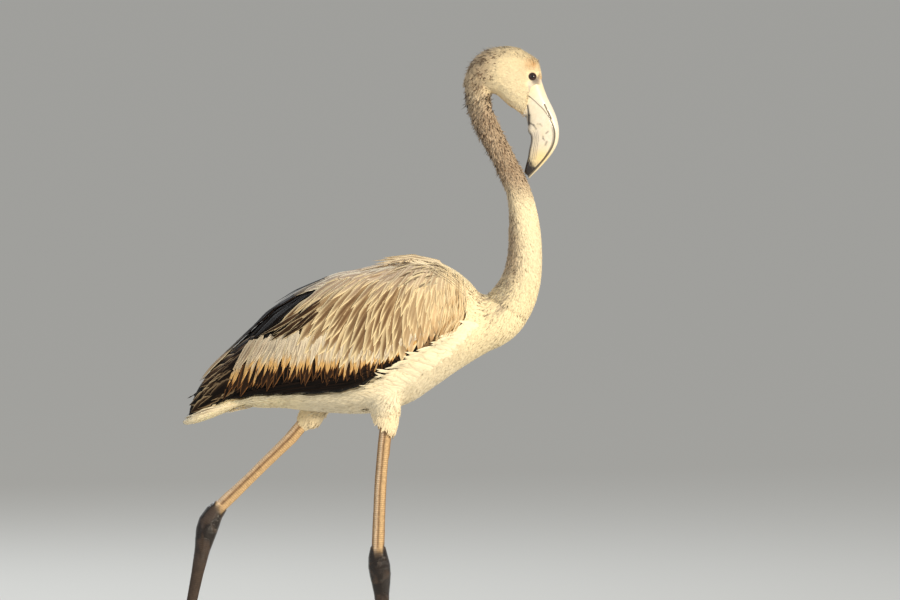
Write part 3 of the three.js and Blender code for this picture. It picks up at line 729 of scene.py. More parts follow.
def wing_markings(seen, where):
    """The wing's ground colour under its feathers, area by area, darkened under the scapulars as painted
    shade between the vanes.
    """
    column, row = seen.T
    # Under the scapulars tan is darkened towards brown as painted shade between the vanes.
    cover = mix(mix(TAN, BROWN, 0.55), LILAC, 1 - ease(row - 0.1 * column, 226, 246))
    for outline, tone in (
        (COVERT_AREA, mix(COVERT, BROWN, 0.35)),
        (REAR_AREA, mix(BROWN, TAN, 0.35)),
        (DARK_BAND, BLACK),
        (BLACK_PATCH, BLACK),
        (SHOULDER_AREA, mix(PALE_EDGE, GOLD, 0.3)),
    ):
        cover = np.where(within(seen, outline)[:, None], tone, cover)
    flight = mix(BLACK, mix(TAN, BROWN, 0.5), ease(column, 404, 424))
    return np.where((where == "flight_feathers")[:, None], flight, cover)


def markings(points, where):
    """The coat's colour at each point, with painted light and shade, the same for skin and feathers."""
    seen = to_picture(points)
    column, row = seen.T
    fine = cloud(points, 3.2 * MM, 4)
    found = body_markings(points, where, column, row)
    found = neck_markings(found, points, where, fine)
    found = head_markings(found, seen, where == "head", fine)
    # Painted shade on the lower thigh.
    found = mix(found, THIGH_SHADE, 0.4 * ease(row, 398, 412) * (where == "thigh"))
    found = mix(found, SHANK, bare_thigh(points, where))
    under_wing = (where == "trunk") & within(seen, WING_OUTLINE) & (row < 300)
    wing = np.isin(where, ["wing", "flight_feathers"]) | under_wing
    return np.where(wing[:, None], wing_markings(seen, where), found)


def lie(points, normals):
    """The direction in which feathers lie at each point, from the flow lines near it."""
    seen = to_picture(points)
    total = np.zeros((len(points), 2))
    for line in LIE:
        marks = along_line(line, np.linspace(0, 1, 8))
        for place, step in zip((marks[:-1] + marks[1:]) / 2, unit(np.diff(marks, axis=0))):
            gap = ((seen - place) ** 2).sum(1)
            total += (1 / (gap + 20) ** 2)[:, None] * step
    direction = np.stack([total[:, 0], np.zeros(len(points)), -total[:, 1]], 1)
    return flattened(unit(direction), normals)


# ---------------------------------------------------------------- the skin piece
def make_limbs():
    """The bare legs: surface, colours with painted edge shade and highlight, distance down the leg in mm,
    and wetness.
    """
    points, faces = voxel_form(LIMBS, LIMB_VOXEL)
    edges = edges_of(faces)
    where = regions(points)
    share = np.full(len(points), 0.5)
    share[where == "foot"] = 0.3
    surface = Surface(smoothed(points, edges, share, 14), faces)
    points = surface.points
    run, ahead = np.zeros((2, len(points)))
    for side, sign in SIDES.items():
        own = points[:, 1] * sign > 0
        middle, down = from_leg(points, side)
        offset = points - middle
        line = np.array(LEG_LINES_MM[side]) * MM
        ankle = np.interp(-ANKLE_TOP_MM[side] * MM, -line[:, 2], run_of(line))
        narrow = np.minimum(1, SHANK_RADIUS / np.linalg.norm(offset, axis=1))
        shank = own & (where == "shank")
        narrow = np.where(shank, narrow, 1)
        points = points + offset * (narrow - 1)[:, None]
        hidden_end = shank & (down < down[shank].min() + 3 * MM)
        points = points + hidden_end[:, None] * unit(line[1] - line[2]) * (UNDER_HEM_MM[side] * MM)
        down = down - hidden_end * (UNDER_HEM_MM[side] * MM)
        run = np.where(own, (down - ankle) / MM, run)
        ahead = np.where(own, offset[:, 0] * narrow / MM, ahead)
    shank = where == "shank"
    groove = hill(ahead + 0.8, 1.3) * shank * (surface.normals[:, 0] ** 2 < 0.7)
    points = points - surface.normals * (GROOVE_DEPTH * groove)[:, None]
    points[:, 2] = np.maximum(points[:, 2], ABOVE_FLOOR)
    surface = Surface(points, faces)
    fine = cloud(points, 2.2 * MM, 6)
    blotch = cloud(points, 6 * MM, 8)
    # Painted shade: darker towards each leg's front and back edges, where it turns from the light; it
    # also starts the dark ankle higher there.
    rim = ease(np.abs(ahead), 4.5, 7.5)
    found = mix(np.tile(SHANK, (len(points), 1)), SHANK_EDGE_SHADE, 0.75 * rim)
    # Painted highlight: a pale strip down the leg behind the groove.
    found = mix(found, SHANK_HIGHLIGHT, 0.6 * hill(ahead + 3.6, 1.5))
    found = mix(found, SHANK_GROOVE, 0.85 * groove)
    dark = ease(run + 10 * rim + 8 * (blotch - 0.5), -2, 13)
    found = mix(found, mix(ANKLE, TARSUS, 0.5 * ease(blotch, 0.5, 0.8)), dark)
    lower = ease(run, 52, 78)
    found = mix(found, mix(TARSUS, ANKLE, 0.3 + 0.4 * fine), lower)
    wet = ease(run, -6, 6) * (1 - ease(run, 60, 90))
    return surface, softened(found, edges, np.full(len(points), 0.4), 3), run, wet


def make_skin():
    """One skin for all the flesh: the form drawn in by the coat's depth, and the bare legs."""
    body = form.points - form.normals * form_depth[:, None]
    middle, _ = from_leg(body, "right")
    offset = body - middle
    inner = SHANK_RADIUS - 1.6 * MM
    slim = inner / np.maximum(np.linalg.norm(offset, axis=1), inner) - 1
    body = body + offset * (slim * bare_thigh(form.points, form_region))[:, None]
    body_colours = markings(form.points, form_region)
    body_colours = softened(body_colours, form_edges, np.full(len(body), 0.4), 2)
    limbs, limb_colours, run, wet = make_limbs()
    points = np.concatenate([body, limbs.points])
    faces = np.concatenate([form.faces, limbs.faces + len(body)])
    mesh = mesh_of("skin", points, faces)
    paint(mesh, "Markings", np.concatenate([body_colours, limb_colours]))
    for name, values in (("Run", run), ("Wet", wet)):
        layer = mesh.attributes.new(name, "FLOAT", "POINT")
        layer.data.foreach_set("value", np.append(np.zeros(len(body)), values).astype(np.float32))
    skin = piece("skin", mesh, pale_skin)
    mesh.materials.append(limb_material())
    of_limb = (np.arange(len(faces)) >= len(form.faces)).astype(np.int32)
    mesh.polygons.foreach_set("material_index", of_limb)
    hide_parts(*FEATHERED, *LIMBS)


# ---------------------------------------------------------------- materials
def new_material(name, roughness, sheen=0.0, coat=0.0, specular=0.5):
    """A material whose even numbers are set on the shader itself, with its tree and its shader."""
    material = bpy.data.materials.new(name)
    material.use_nodes = True
    shader = material.node_tree.nodes["Principled BSDF"]
    for socket, value in (
        ("Roughness", roughness), ("Sheen Weight", sheen), ("Sheen Roughness", 0.5),
        ("Coat Weight", coat), ("Coat Roughness", 0.1), ("Specular IOR Level", specular),
    ):
        shader.inputs[socket].default_value = value
    return material, material.node_tree, shader


def fill(tree, socket, value):
    """Sets a socket to a number or row of numbers, or links another node's output to it."""
    if isinstance(value, bpy.types.NodeSocket):
        tree.links.new(value, socket)
    else:
        socket.default_value = value


def node(tree, kind, inputs, output=0, **settings):
    """Adds a node with its inputs filled in, and gives back one of its outputs."""
    made = tree.nodes.new(kind)
    for name, value in settings.items():
        setattr(made, name, value)
    for name, value in inputs.items():
        fill(tree, made.inputs[name], value)
    return made.outputs[output]


def sum_node(tree, operation, first, second=0):
    """A sum of one or two values."""
    return node(tree, "ShaderNodeMath", {0: first, 1: second}, operation=operation)


def stored(tree, name, output="Fac"):
    """A value or colour kept with the mesh's vertices."""
    return node(tree, "ShaderNodeAttribute", {}, output, attribute_name=name)


def noise(tree, scale, detail, place=None):
    """Noise over the object's own space, or over other places given."""
    place = place or node(tree, "ShaderNodeTexCoord", {}, "Object")
    return node(tree, "ShaderNodeTexNoise", {"Vector": place, "Scale": scale, "Detail": detail})


def moved(tree, value, low, high, most=1.0):
    """The value, from 0 to `most`, moved to run from low to high."""
    limits = {"Value": value, "From Max": most, "To Min": low, "To Max": high}
    return node(tree, "ShaderNodeMapRange", limits)


def mottle(tree, shader, value, low, high):
    """Multiplies the stored markings by a grey that the value moves between two limits."""
    parts = {"Factor": 1, "A": stored(tree, "Markings", "Color"), "B": moved(tree, value, low, high)}
    blend = node(tree, "ShaderNodeMix", parts, "Result", data_type="RGBA", blend_type="MULTIPLY")
    fill(tree, shader.inputs["Base Color"], blend)


def add_bump(tree, shader, height, strength, depth):
    """Fine relief from a height, at most `depth` high."""
    parts = {"Strength": strength, "Distance": depth, "Height": height}
    fill(tree, shader.inputs["Normal"], node(tree, "ShaderNodeBump", parts))


def feather_material(name, roughness, sheen, low, high):
    """Streaks and barbs that run along each feather, read from its own map in millimetres."""
    material, tree, shader = new_material(name, roughness, sheen, specular=0.08)
    vane = node(tree, "ShaderNodeUVMap", {}, uv_map="Vane")
    stretched = node(tree, "ShaderNodeMapping", {"Vector": vane, "Scale": (1.9, 0.16, 1)})
    streak = noise(tree, 1.0, 3, stretched)
    mottle(tree, shader, streak, low, high)
    across = node(tree, "ShaderNodeSeparateXYZ", {"Vector": vane}, "X")
    down = across.node.outputs["Y"]
    slanted = sum_node(tree, "SUBTRACT", down, sum_node(tree, "ABSOLUTE", across))
    barbs = sum_node(tree, "SINE", sum_node(tree, "MULTIPLY", slanted, 8.5))
    height = sum_node(tree, "ADD", sum_node(tree, "MULTIPLY", barbs, 0.25), streak)
    add_bump(tree, shader, height, 0.35, 0.3 * MM)
    return material


def grained_material(name, roughness, scale, detail, low, high, relief=None, **gloss):
    """A surface mottled by noise, with relief as (strength, depth) where there is any."""
    material, tree, shader = new_material(name, roughness, **gloss)
    grain = noise(tree, scale, detail)
    mottle(tree, shader, grain, low, high)
    if relief:
        add_bump(tree, shader, grain, *relief)
    return material


def limb_material():
    """Leg skin: rows of scutes across the leg, small scales between, wetter at the ankle."""
    material, tree, shader = new_material("leg_skin", 0.5, specular=0.4)
    place = node(tree, "ShaderNodeTexCoord", {}, "Object")
    grain = noise(tree, 300, 4, place)
    gaps = node(tree, "ShaderNodeTexVoronoi", {"Vector": place, "Scale": 380}, "Distance",
                feature="DISTANCE_TO_EDGE")
    phase = sum_node(tree, "MULTIPLY", stored(tree, "Run"), math.pi / SCUTE_MM)
    wavy = sum_node(tree, "ADD", phase, sum_node(tree, "MULTIPLY", grain, 2.0))
    bands = sum_node(tree, "ABSOLUTE", sum_node(tree, "SINE", wavy))
    seams = sum_node(tree, "POWER", bands, 0.35)
    scales = sum_node(tree, "MULTIPLY", moved(tree, gaps, 0, 1, most=0.1), 0.8)
    mottle(tree, shader, sum_node(tree, "MULTIPLY", seams, grain), 0.5, 1.5)
    add_bump(tree, shader, sum_node(tree, "ADD", seams, scales), 0.6, 0.35 * MM)
    fill(tree, shader.inputs["Roughness"], moved(tree, stored(tree, "Wet"), 0.7, 0.08))
    return material


soft_coat = feather_material("soft_feathers", 0.8, 0.06, 0.80, 1.16)
firm_coat = feather_material("firm_feathers", 0.66, 0.0, 0.72, 1.22)
pale_skin = grained_material("skin", 0.6, 420, 4, 0.85, 1.12, (0.4, 0.3 * MM), specular=0.35)
horn = grained_material("bill_horn", 0.38, 260, 5, 0.86, 1.12, (0.15, 0.2 * MM), coat=0.35)
wet_eye = grained_material("eye", 0.05, 900, 2, 0.7, 1.3, coat=0.4, specular=0.35)


# ---------------------------------------------------------------- small tufts
TUFT_FACES = np.array([
    (0, 1, 2), (0, 2, 3), (1, 5, 2), (1, 4, 5), (2, 6, 3), (2, 5, 6), (4, 7, 5), (5, 7, 6),
])
SMALL_FACES = np.array([(0, 1, 2), (0, 2, 3), (1, 4, 2), (2, 4, 3)])


def bake_places(points):
    """Each root's place on an unwrap of the body: along the middle line, and round it."""
    along, front = spine_place(points)
    angle = np.arctan2(points[:, 1], front * STEP) / (2 * math.pi) + 0.5
    return np.stack([along, angle], 1)


def spread_map(places):
    """The places spread over the map, clear of its border."""
    low, high = places.min(0), places.max(0)
    return 0.02 + 0.96 * (places - low) / (high - low)


Roots = namedtuple("Roots", "points normals depth region")


def sow(spacing, keep):
    """Roots on the form, about `spacing` apart, on faces whose corners are all kept."""
    face_spacing = spacing[form.faces].mean(1)
    wanted = form.area / face_spacing**2 * keep[form.faces].all(1)
    count = np.floor(wanted + random.random(len(wanted))).astype(int)
    chosen = np.repeat(np.arange(len(wanted)), count)
    u, v = random.random((2, len(chosen), 1))
    corners = form.faces[chosen]
    weights = np.concatenate([(1 - u) * (1 - v), u * (1 - v), u * v, (1 - u) * v], 1)

    def blend(values):
        return (values[corners] * weights[..., None]).sum(1)

    nearest = corners[np.arange(len(corners)), weights.argmax(1)]
    return Roots(blend(form.points), unit(blend(form.normals)), form_depth[nearest], form_region[nearest])


def tuft_coat(name, roots, length, width, shag, tone, small=False, sunk=0.0, relief=0.45,
              uneven=0.1, hang=None):
    """A piece of many thin leaves that leave the skin, bend and lie along the form.

    `shag` is how far tips stand off the form, `sunk` how far under it the leaves lie, `relief` how
    much each one is rounded to the light, and `hang` marks those that run on past the form's end.
    """
    points, normals, depth, _ = roots
    count = len(points)
    heading = lie(points, normals)
    across = np.cross(normals, heading)
    turn = random.normal(0, 0.16, count)[:, None]
    heading = unit(heading + across * turn)
    across = np.cross(normals, heading)
    length = length * random.uniform(0.75, 1.25, count)
    width = width * random.uniform(0.8, 1.2, count)
    root = points - normals * (depth[:, None] * 0.9 + sunk)
    stops = [0.55, 1.0] if small else [0.4, 0.75, 1.0]
    spine, up = [], []
    for stop in stops:
        reach = points + heading * (length * stop)[:, None]
        place, normal = form.nearest(reach)
        if hang is not None:
            inward = reach - normals * (length * 0.22 * stop**2)[:, None]
            place = np.where(hang[:, None], inward, place)
            normal = np.where(hang[:, None], normals, normal)
        sink = sunk + depth * (0.35 * (1 - stop)) - shag * random.uniform(-0.5, 1, count) * stop**2
        spine.append(place - normal * sink[:, None])
        up.append(normal)
    columns = [root]
    for middle, normal, share in zip(spine[:-1], up, (0.5, 0.4)):
        half = across * (width * share)[:, None]
        dip = normal * (width * 0.18)[:, None]
        columns += [middle - half - dip, middle, middle + half - dip]
    columns.append(spine[-1])
    verts = np.stack(columns, 1)
    faces = repeated(SMALL_FACES if small else TUFT_FACES, count, verts.shape[1])
    mesh = mesh_of(name, verts.reshape(-1, 3), faces)

    widened = stops[:-1]
    t = np.concatenate([[0], np.repeat(widened, 3), [1]])
    u = np.array([0] + [-1, 0, 1] * len(widened) + [0])
    colours = tone(t[None, :, None], u[None, :, None])
    paint(mesh, "Markings", colours.reshape(-1, 3))
    shift = random.uniform(0, MAP_RUN, (count, 1))
    vane = np.stack([u[None] * width[:, None] / 2 / MM, t[None] * length[:, None] / MM + shift], 2)
    lay_map(mesh, "Vane", vane.reshape(-1, 2))
    centres = spread_map(bake_places(points))
    patch = np.stack([u * 0.5, t - 0.5], 1) * BAKE_PATCH
    lay_map(mesh, "OFBake", (centres[:, None] + patch[None]).reshape(-1, 2))
    facing = np.stack([normals] + [normal for normal in up[:-1] for _ in range(3)] + [up[-1]], 1)
    facing = facing + across[:, None] * (relief * u)[None, :, None]
    facing = facing + heading[:, None] * (0.6 * relief * t)[None, :, None]
    facing = unit(facing + random.normal(0, uneven, (count, 1, 3)))
    mesh.normals_split_custom_set_from_vertices(facing.reshape(-1, 3))
    piece(name, mesh, soft_coat)


def fleck(base, share, dark, strength):
    """Gives some tufts a dark tint, as a tone that fades from tip to root."""
    chosen = (random.random(len(base)) < share)[:, None, None]
    chosen = chosen * random.uniform(0.4, 1, (len(base), 1, 1))
    light = random.normal(1, 0.035, len(base))[:, None, None]

    def tone(t, u):
        cover = chosen * strength * ease(t, 0.05, 0.5) * (1 - 0.5 * np.abs(u))
        shade = base[:, None, :] * light * (0.86 + 0.14 * ease(t, 0, 0.5))
        return shade * (1 - cover) + dark * cover

    return tone


def dark_rooted(base, root, share, reach):
    """Feathers that are dark at the root, `share` of them far up towards the pale tip."""
    far = np.where(random.random(len(base)) < share, reach, 0.35 * reach)[:, None, None]
    cover = 0.9 * ease(reach, 0.05, 0.3)[:, None]
    light = random.normal(1, 0.02 + 0.05 * ease(reach, 0.05, 0.3))[:, None, None]
    far = far + 0.01

    def tone(t, u):
        return mix(base[:, None, :] * light, root, cover * (1 - ease(t, 0.6 * far, far)[..., 0]))

    return tone


def make_head_coat():
    """Short smooth feathers on the face, longer mottled ones that stand off the crown and nape."""
    spacing = (1.05 + 0.45 * hindmost(to_picture(form.points))) * MM
    keep = (form_region == "head") & (bare(form.points, form_region) < 0.3)
    roots = sow(spacing, keep)
    seen = to_picture(roots.points)
    column, row = seen.T
    rear = hindmost(seen)
    mottled = ease(cloud(roots.points, 4 * MM, 9), 0.42, 0.66)
    share = 0.6 * rear * mottled + 0.1 * rear + 0.3 * crown_top(seen) * mottled + 0.006
    reach = 0.8 * ease(share, 0.01, 0.3)
    tone = dark_rooted(markings(roots.points, roots.region), FLECK, share, reach)
    top = 1 - ease(row - 0.3 * np.abs(column - 505), 50, 58)
    brow = ease(column, 528, 537) * (1 - ease(row, 66, 76))
    rim = rear * (1 - ease(column + 0.9 * row, 548, 568))
    loose = 1 + 1.5 * rim * (random.random(len(seen)) < 0.3)
    shag = (0.25 + 1.8 * rear + 1.2 * top + 1.6 * brow) * loose * MM
    chin = from_line(seen, (517, 111), (526, 117)) < 4
    length = np.where(chin, 6, 3.6 + 5.0 * rear) * MM
    tuft_coat("coat_head", roots, length, (1.25 + 1.2 * rear) * MM, shag, tone,
              small=True, hang=chin)


def make_neck_coat():
    """Dense tufts round the neck, dark at their roots in clumps and down the hind neck."""
    spacing = np.full(len(form.points), 1.7 * MM)
    roots = sow(spacing, np.char.startswith(form_region, "neck"))
    column, row = to_picture(roots.points).T
    _, front = spine_place(roots.points)
    upper = 1 - ease(row, 165, 205)
    back = 1 - ease(front, -6, 3)
    clump = ease(cloud(roots.points * [1, 1, 0.45], 4.5 * MM, 12), 0.42, 0.66)
    middle = hill(front + 2, 5) * ease(row, 185, 200) * (1 - ease(row, 288, 305))
    share = 0.75 * upper * clump + 0.15 * upper + (0.5 * back + 0.5 * middle) * clump * (1 - upper)
    reach = 0.35 + 0.5 * np.maximum(upper, 0.7 * np.maximum(back, middle))
    share = share * (1 - ease(row, 286, 300))
    reach = reach * (1 - ease(row, 275, 295)) * (share > 0.02)
    tone = dark_rooted(markings(roots.points, roots.region), FLECK, share, reach)
    length = (9 + 2 * ease(row, 180, 320)) * MM
    loose = 1 + 1.2 * upper * (random.random(len(row)) < 0.25)
    shag = (0.5 + 2.4 * upper + 1.8 * back) * loose * MM
    tuft_coat("coat_neck", roots, length, (2.2 + 0.5 * upper) * MM, shag, tone,
              relief=0.6, uneven=0.15)


def make_body_coat():
    """Soft feathers of breast, belly, thighs and under the tail, one piece for each side."""
    column, row = to_picture(form.points).T
    covered = np.isin(form_region, ["trunk", "thigh", "tail"])
    on_back = (form_region == "trunk") & (form.normals[:, 2] > 0.2) & (column < 455)
    spacing = np.where(form_region == "thigh", 1.7, 2.0) * MM
    below_hem = (form_region == "thigh") & (column > 350) & (row - 0.6 * (column - 377) > 416)
    for side, sign in SIDES.items():
        keep = covered & (form.points[:, 1] * sign > -1 * MM) & ~on_back & ~below_hem
        roots = sow(spacing, keep)
        column, row = to_picture(roots.points).T
        marked = (np.hypot(column - 494, row - 325) < 18) * 0.05
        marked = marked + (np.hypot(column - 494, row - 306) < 10) * 0.08
        tone = fleck(markings(roots.points, roots.region), marked, FLECK, 0.8)
        thigh = roots.region == "thigh"
        right = roots.points[:, 1] < 0
        hang = thigh & (row > np.where(right, 406, 412)) & (right | (column > 302))
        tuft_coat(f"coat_body_{side}", roots, np.where(thigh, 13, 16) * MM, 2.8 * MM,
                  np.where(thigh, 1.8, 0.9) * MM, tone, relief=0.25, uneven=0.05,
                  hang=hang)


def make_wing_down():
    """Short feathers under the vanes, so that no skin shows between them."""
    spacing = np.full(len(form.points), 3.0 * MM)
    column, _ = to_picture(form.points).T
    on_back = (form_region == "trunk") & (form.normals[:, 2] > 0.2) & (column < 460)
    roots = sow(spacing, np.isin(form_region, ["wing", "flight_feathers"]) | on_back)
    # Their colour comes from the markings, with the painted shade between the vanes.
    tone = fleck(markings(roots.points, roots.region), 0.15, BROWN, 0.4)
    tuft_coat("coat_wing_down", roots, 11 * MM, 4.2 * MM, 0, tone, sunk=2.9 * MM)


# ---------------------------------------------------------------- long vanes
class VaneSet:
    """Collects long feathers, then makes them into one piece.

    `t` runs from 0 at a feather's root to 1 at its tip, and `u` from -1 to 1 across it.
    """

    def __init__(self, name, slot):
        self.name = name
        self.slot = slot
        self.t = np.linspace(0, 1, VANE_STATIONS)
        self.u = np.linspace(-1, 1, VANE_COLUMNS)
        self.parts = []

    def lay(self, courses, low, high):
        """Middle lines and normals of feathers laid on the form.

        They ride `low` above the lowest layer at the root and `high` at the tip, and run straight
        on where the form ends.
        """
        spine, normals = [], []
        for station, t in enumerate(self.t):
            wanted = courses[:, station]
            place, normal = form.nearest(wanted)
            if station:
                follows = dot(normal, normals[-1]) > 0.6
                normal = unit(np.where(follows, normal, normals[-1]))
                beyond = np.linalg.norm(wanted - place, axis=1, keepdims=True) > 2 * MM
                place = np.where(follows & ~beyond, place, wanted)
            spine.append(place + normal * (low + (high - low) * t - BASE_SINK))
            normals.append(normal)
        return np.stack(spine, 1), np.stack(normals, 1)

    def add(self, courses, width, low, high, tone, point=0.5, curl=0.0, facing=None):
        """Feathers along their courses.

        `point` is 0 for a round end and 1 for a spike, `curl` how far tips stray sideways, and
        `facing` turns loose feathers that way instead of the way the form faces.
        """
        count = len(courses)
        t, u = self.t, self.u
        spine, normals = self.lay(courses, low, high)
        if facing is not None:
            normals = np.zeros_like(normals) + unit(np.array(facing))
        heading = unit(np.gradient(spine, axis=1))
        across = unit(np.cross(normals, heading))
        length = np.linalg.norm(spine[:, -1] - spine[:, 0], axis=1)
        bend = (random.normal(0, 1, count) * curl)[:, None, None] * (t**2)[None, :, None]
        spine = spine + across * bend * length[:, None, None]
        taper = (1 - t ** (5 - 3 * point)) ** (0.5 + 0.6 * point)
        profile = np.minimum(1, 0.4 + 2.6 * t) * np.maximum(taper, 0.02)
        frayed = np.ones((count, len(t), len(u)))
        frayed[..., [0, -1]] = random.uniform(0.84, 1.04, (count, len(t), 2))
        half = width[:, None, None] / 2 * profile[None, :, None] * u * frayed
        tilt = random.normal(0.08, 0.04, count)[:, None, None]
        rise = (np.abs(u) < 0.05) * SHAFT_HEIGHT - 0.12 * np.abs(half) - tilt * half
        verts = spine[:, :, None] + across[:, :, None] * half[..., None]
        verts = verts + normals[:, :, None] * rise[..., None]
        leaning = normals[:, :, None] + across[:, :, None] * (0.3 * u)[None, None, :, None]
        own = random.normal(0, 0.07, (count, 1, 1, 3))
        shift = random.uniform(0, MAP_RUN, (count, 1, 1))
        down = t[None, :, None] * length[:, None, None] / MM + shift
        vane = np.stack([half / MM, np.broadcast_to(down, half.shape)], 3)
        colours = tone(count, t[None, :, None], u[None, None, :])
        self.parts.append((verts, colours, unit(leaning + own), vane, courses[:, 0]))

    def finish(self, material):
        """Makes the piece from all feathers added."""
        verts, colours, normals, vane, starts = [np.concatenate(each) for each in zip(*self.parts)]
        count, rows, columns = verts.shape[:3]
        faces = repeated(grid_faces(rows, columns), count, rows * columns)
        mesh = mesh_of(self.name, verts.reshape(-1, 3), faces)
        paint(mesh, "Markings", colours.reshape(-1, 3))
        lay_map(mesh, "Vane", vane.reshape(-1, 2))
        centres = spread_map(bake_places(starts))
        patch = np.stack(np.meshgrid(self.u * 0.5, self.t - 0.5), -1) * BAKE_PATCH
        lay_map(mesh, "OFBake", (centres[:, None, None] + patch[None]).reshape(-1, 2))
        mesh.normals_split_custom_set_from_vertices(normals.reshape(-1, 3))
        piece(self.name, mesh, material)


def feather_tone(base, streak=None, edge=None, tip=None, end=None, streak_width=0.25, edge_at=0.4,
                 tip_at=0.75, end_at=0.9, variety=0.07):
    """A feather's own pattern: a dark shaft streak, a pale edge, a coloured tip and a dark end.

    Each colour is one for all, or one for each feather. `variety` is how much feathers differ.
    """

    def each(tone):
        return np.reshape(tone, (-1, 1, 1, 3))

    def tone(count, t, u):
        blank = np.ones((count, t.shape[1], u.shape[2]))
        light = random.normal(1, variety, (count, 1, 1, 1))
        strength = random.uniform(0.45, 1, (count, 1, 1))
        found = each(base) * blank[..., None] * light
        if edge is not None:
            found = mix(found, each(edge), 0.9 * ease(np.abs(u), edge_at, 0.5 * edge_at + 0.6) * blank)
        if tip is not None:
            found = mix(found, each(tip), ease(t, tip_at - 0.12, tip_at + 0.06) * blank)
        if streak is not None:
            narrow = 1 - ease(np.abs(u), streak_width, streak_width + 0.4)
            found = mix(found, each(streak), narrow * strength * ease(t, 0.1, 0.45) * blank)
        if end is not None:
            found = mix(found, each(end), ease(t, end_at - 0.06, end_at + 0.05) * blank)
        return found

    return tone


def on_flow(flow, across, along):
    """Places in side view: `across` goes from the first line to the last and `along` down them."""
    marks = np.linspace(0, 1, FLOW_MARKS)
    lines = np.stack([along_line(line, marks).ravel() for line in flow])
    own = through(lines, across * (len(flow) - 1)).reshape(len(across), FLOW_MARKS, 2)
    step = along * (FLOW_MARKS - 1)
    low = np.clip(np.floor(step).astype(int), 0, FLOW_MARKS - 2)
    share = (step - low)[..., None]
    row = np.arange(len(across))[:, None]
    return own[row, low] * (1 - share) + own[row, low + 1] * share


def tract(vanes, side, flow, rows, count, pattern, level_mm, overlap=1.5, jitter=1.0, ragged=0.02,
          **shape):
    """Rows of feathers down a flow, `count` in each.

    Each row is (root, tip) as shares of the flow's length, and lies over the row before it.
    `pattern` gives a row's tone from the places of its tips. `level_mm` is how high roots and tips
    lie, `overlap` a feather's width by its share of the row, `jitter` how many columns tips stray,
    and `ragged` how unequal the feathers' ends are, as a share of the flow's length.
    """
    low, high = np.array(level_mm) * MM
    for number, (root, tip) in enumerate(rows):
        across = (np.arange(count) + 0.5 * (number % 2) + random.uniform(0.1, 0.4, count)) / count
        stretch = ragged * np.clip(random.normal(0, 1, (count, 2)), -1.2, 1.2)
        along = (root + stretch[:, :1]) + (tip - root + stretch[:, 1:]) * vanes.t
        seen = on_flow(flow, across, along)
        seen = seen + random.normal(0, jitter, (count, 1, 2)) * vanes.t[None, :, None]
        beside = on_flow(flow, np.clip(across + 0.5 / count, 0, 1), along)
        before = on_flow(flow, np.clip(across - 0.5 / count, 0, 1), along)
        apart = np.linalg.norm(beside - before, axis=2)
        width = np.maximum(apart.mean(1), 0.6 * apart.max()) * STEP * overlap
        width = width * random.uniform(0.85, 1.15, count)
        courses = form.from_side(seen.reshape(-1, 2), side).reshape(count, len(vanes.t), 3)
        lift = number * LAYER
        vanes.add(courses, width, low + lift, high + lift, pattern(seen[:, -1]), **shape)


def plain(**settings):
    """A pattern that doesn't change over the tract."""
    return lambda tips: feather_tone(**settings)


def rear_pattern(tips):
    """Dark brown with pale edges, almost black just behind the coverts."""
    column, row = tips.T
    dark = ease(column + 0.6 * (row - 350), 220, 236)
    base = mix(for_each(mix(BROWN, DARK_BROWN, 0.5), tips), BLACK, 0.8 * dark)
    edge = mix(for_each(mix(PALE_EDGE, TAN, 0.45), tips), BROWN, 0.75 * dark)
    return feather_tone(base, streak=BLACK, edge=edge, streak_width=0.32, edge_at=0.64, variety=0.2)


def covert_pattern(tips):
    """Pale lilac-grey with a thin dark shaft, browner towards the wing's rear end."""
    rear = 1 - ease(tips[:, 0], 234, 268)
    base = mix(for_each(COVERT, tips), TAN, 0.6 * rear)
    return feather_tone(base, streak=mix(NECK_GREY, BROWN, 0.5), edge=CREAM, streak_width=0.04,
                        edge_at=0.5, variety=0.12)


def by_edge(tips, reach):
    """1 for feathers whose tips are at the wing's front or lower edge, 0 far above it."""
    gaps = [from_line(tips, start, end) for start, end in zip(WING_EDGE, WING_EDGE[1:])]
    return hill(np.min(gaps, axis=0), reach) * random.uniform(0.5, 1, len(tips))


def for_each(tone, tips):
    """One colour, repeated for each feather."""
    return np.tile(tone, (len(tips), 1))


def scapular_pattern(tips):
    """Lilac-grey at the top, tan with brown centres below, paler and golden to the front."""
    column, row = tips.T
    high = 1 - ease(row - 0.12 * (430 - column), 280, 310)
    front = ease(column, 388, 425)
    low = by_edge(tips, 16) * front
    pale = for_each(PALE_EDGE, tips)
    base = mix(mix(mix(TAN, BROWN, 0.15), mix(PALE_EDGE, CREAM, 0.5), 0.85 * front), LILAC, 0.85 * high)
    base = mix(base, mix(TAN, ORANGE_BROWN, 0.5), 0.7 * low)
    centre = mix(mix(BROWN, TAN, 0.8 * front), mix(TAN, LILAC, 0.2), high)
    return feather_tone(base, streak=centre, edge=mix(pale, WHITE, 0.4 * high),
                        tip=mix(pale, ORANGE_BROWN, 0.85 * low), end=mix(pale, DARK_BROWN, low),
                        streak_width=0.17, edge_at=0.45, tip_at=0.8, end_at=0.94, variety=0.13)


def shoulder_pattern(tips):
    """Cream, with orange-brown feathers and dark tips along the wing's front and lower edge."""
    near = by_edge(tips, 19) * (1 - 0.75 * ease(tips[:, 0], 454, 465))
    hump = (1 - ease(tips[:, 1], 294, 322)) * random.uniform(0.2, 1, len(tips))
    pale = for_each(mix(PALE_EDGE, CREAM, 0.5), tips)
    dark = mix(mix(TAN, ORANGE_BROWN, 0.4), DARK_BROWN, np.maximum(near, hump))
    width = (0.03 + 0.1 * near + 0.2 * hump)[:, None, None]
    tip = mix(pale, mix(GOLD, ORANGE_BROWN, 0.5), near)
    return feather_tone(mix(pale, GOLD, 0.5 * near), streak=dark, edge=mix(WHITE, PALE_EDGE, near),
                        tip=tip, end=mix(pale, DARK_BROWN, near), streak_width=width, edge_at=0.5,
                        tip_at=0.72, end_at=0.93, variety=0.1)


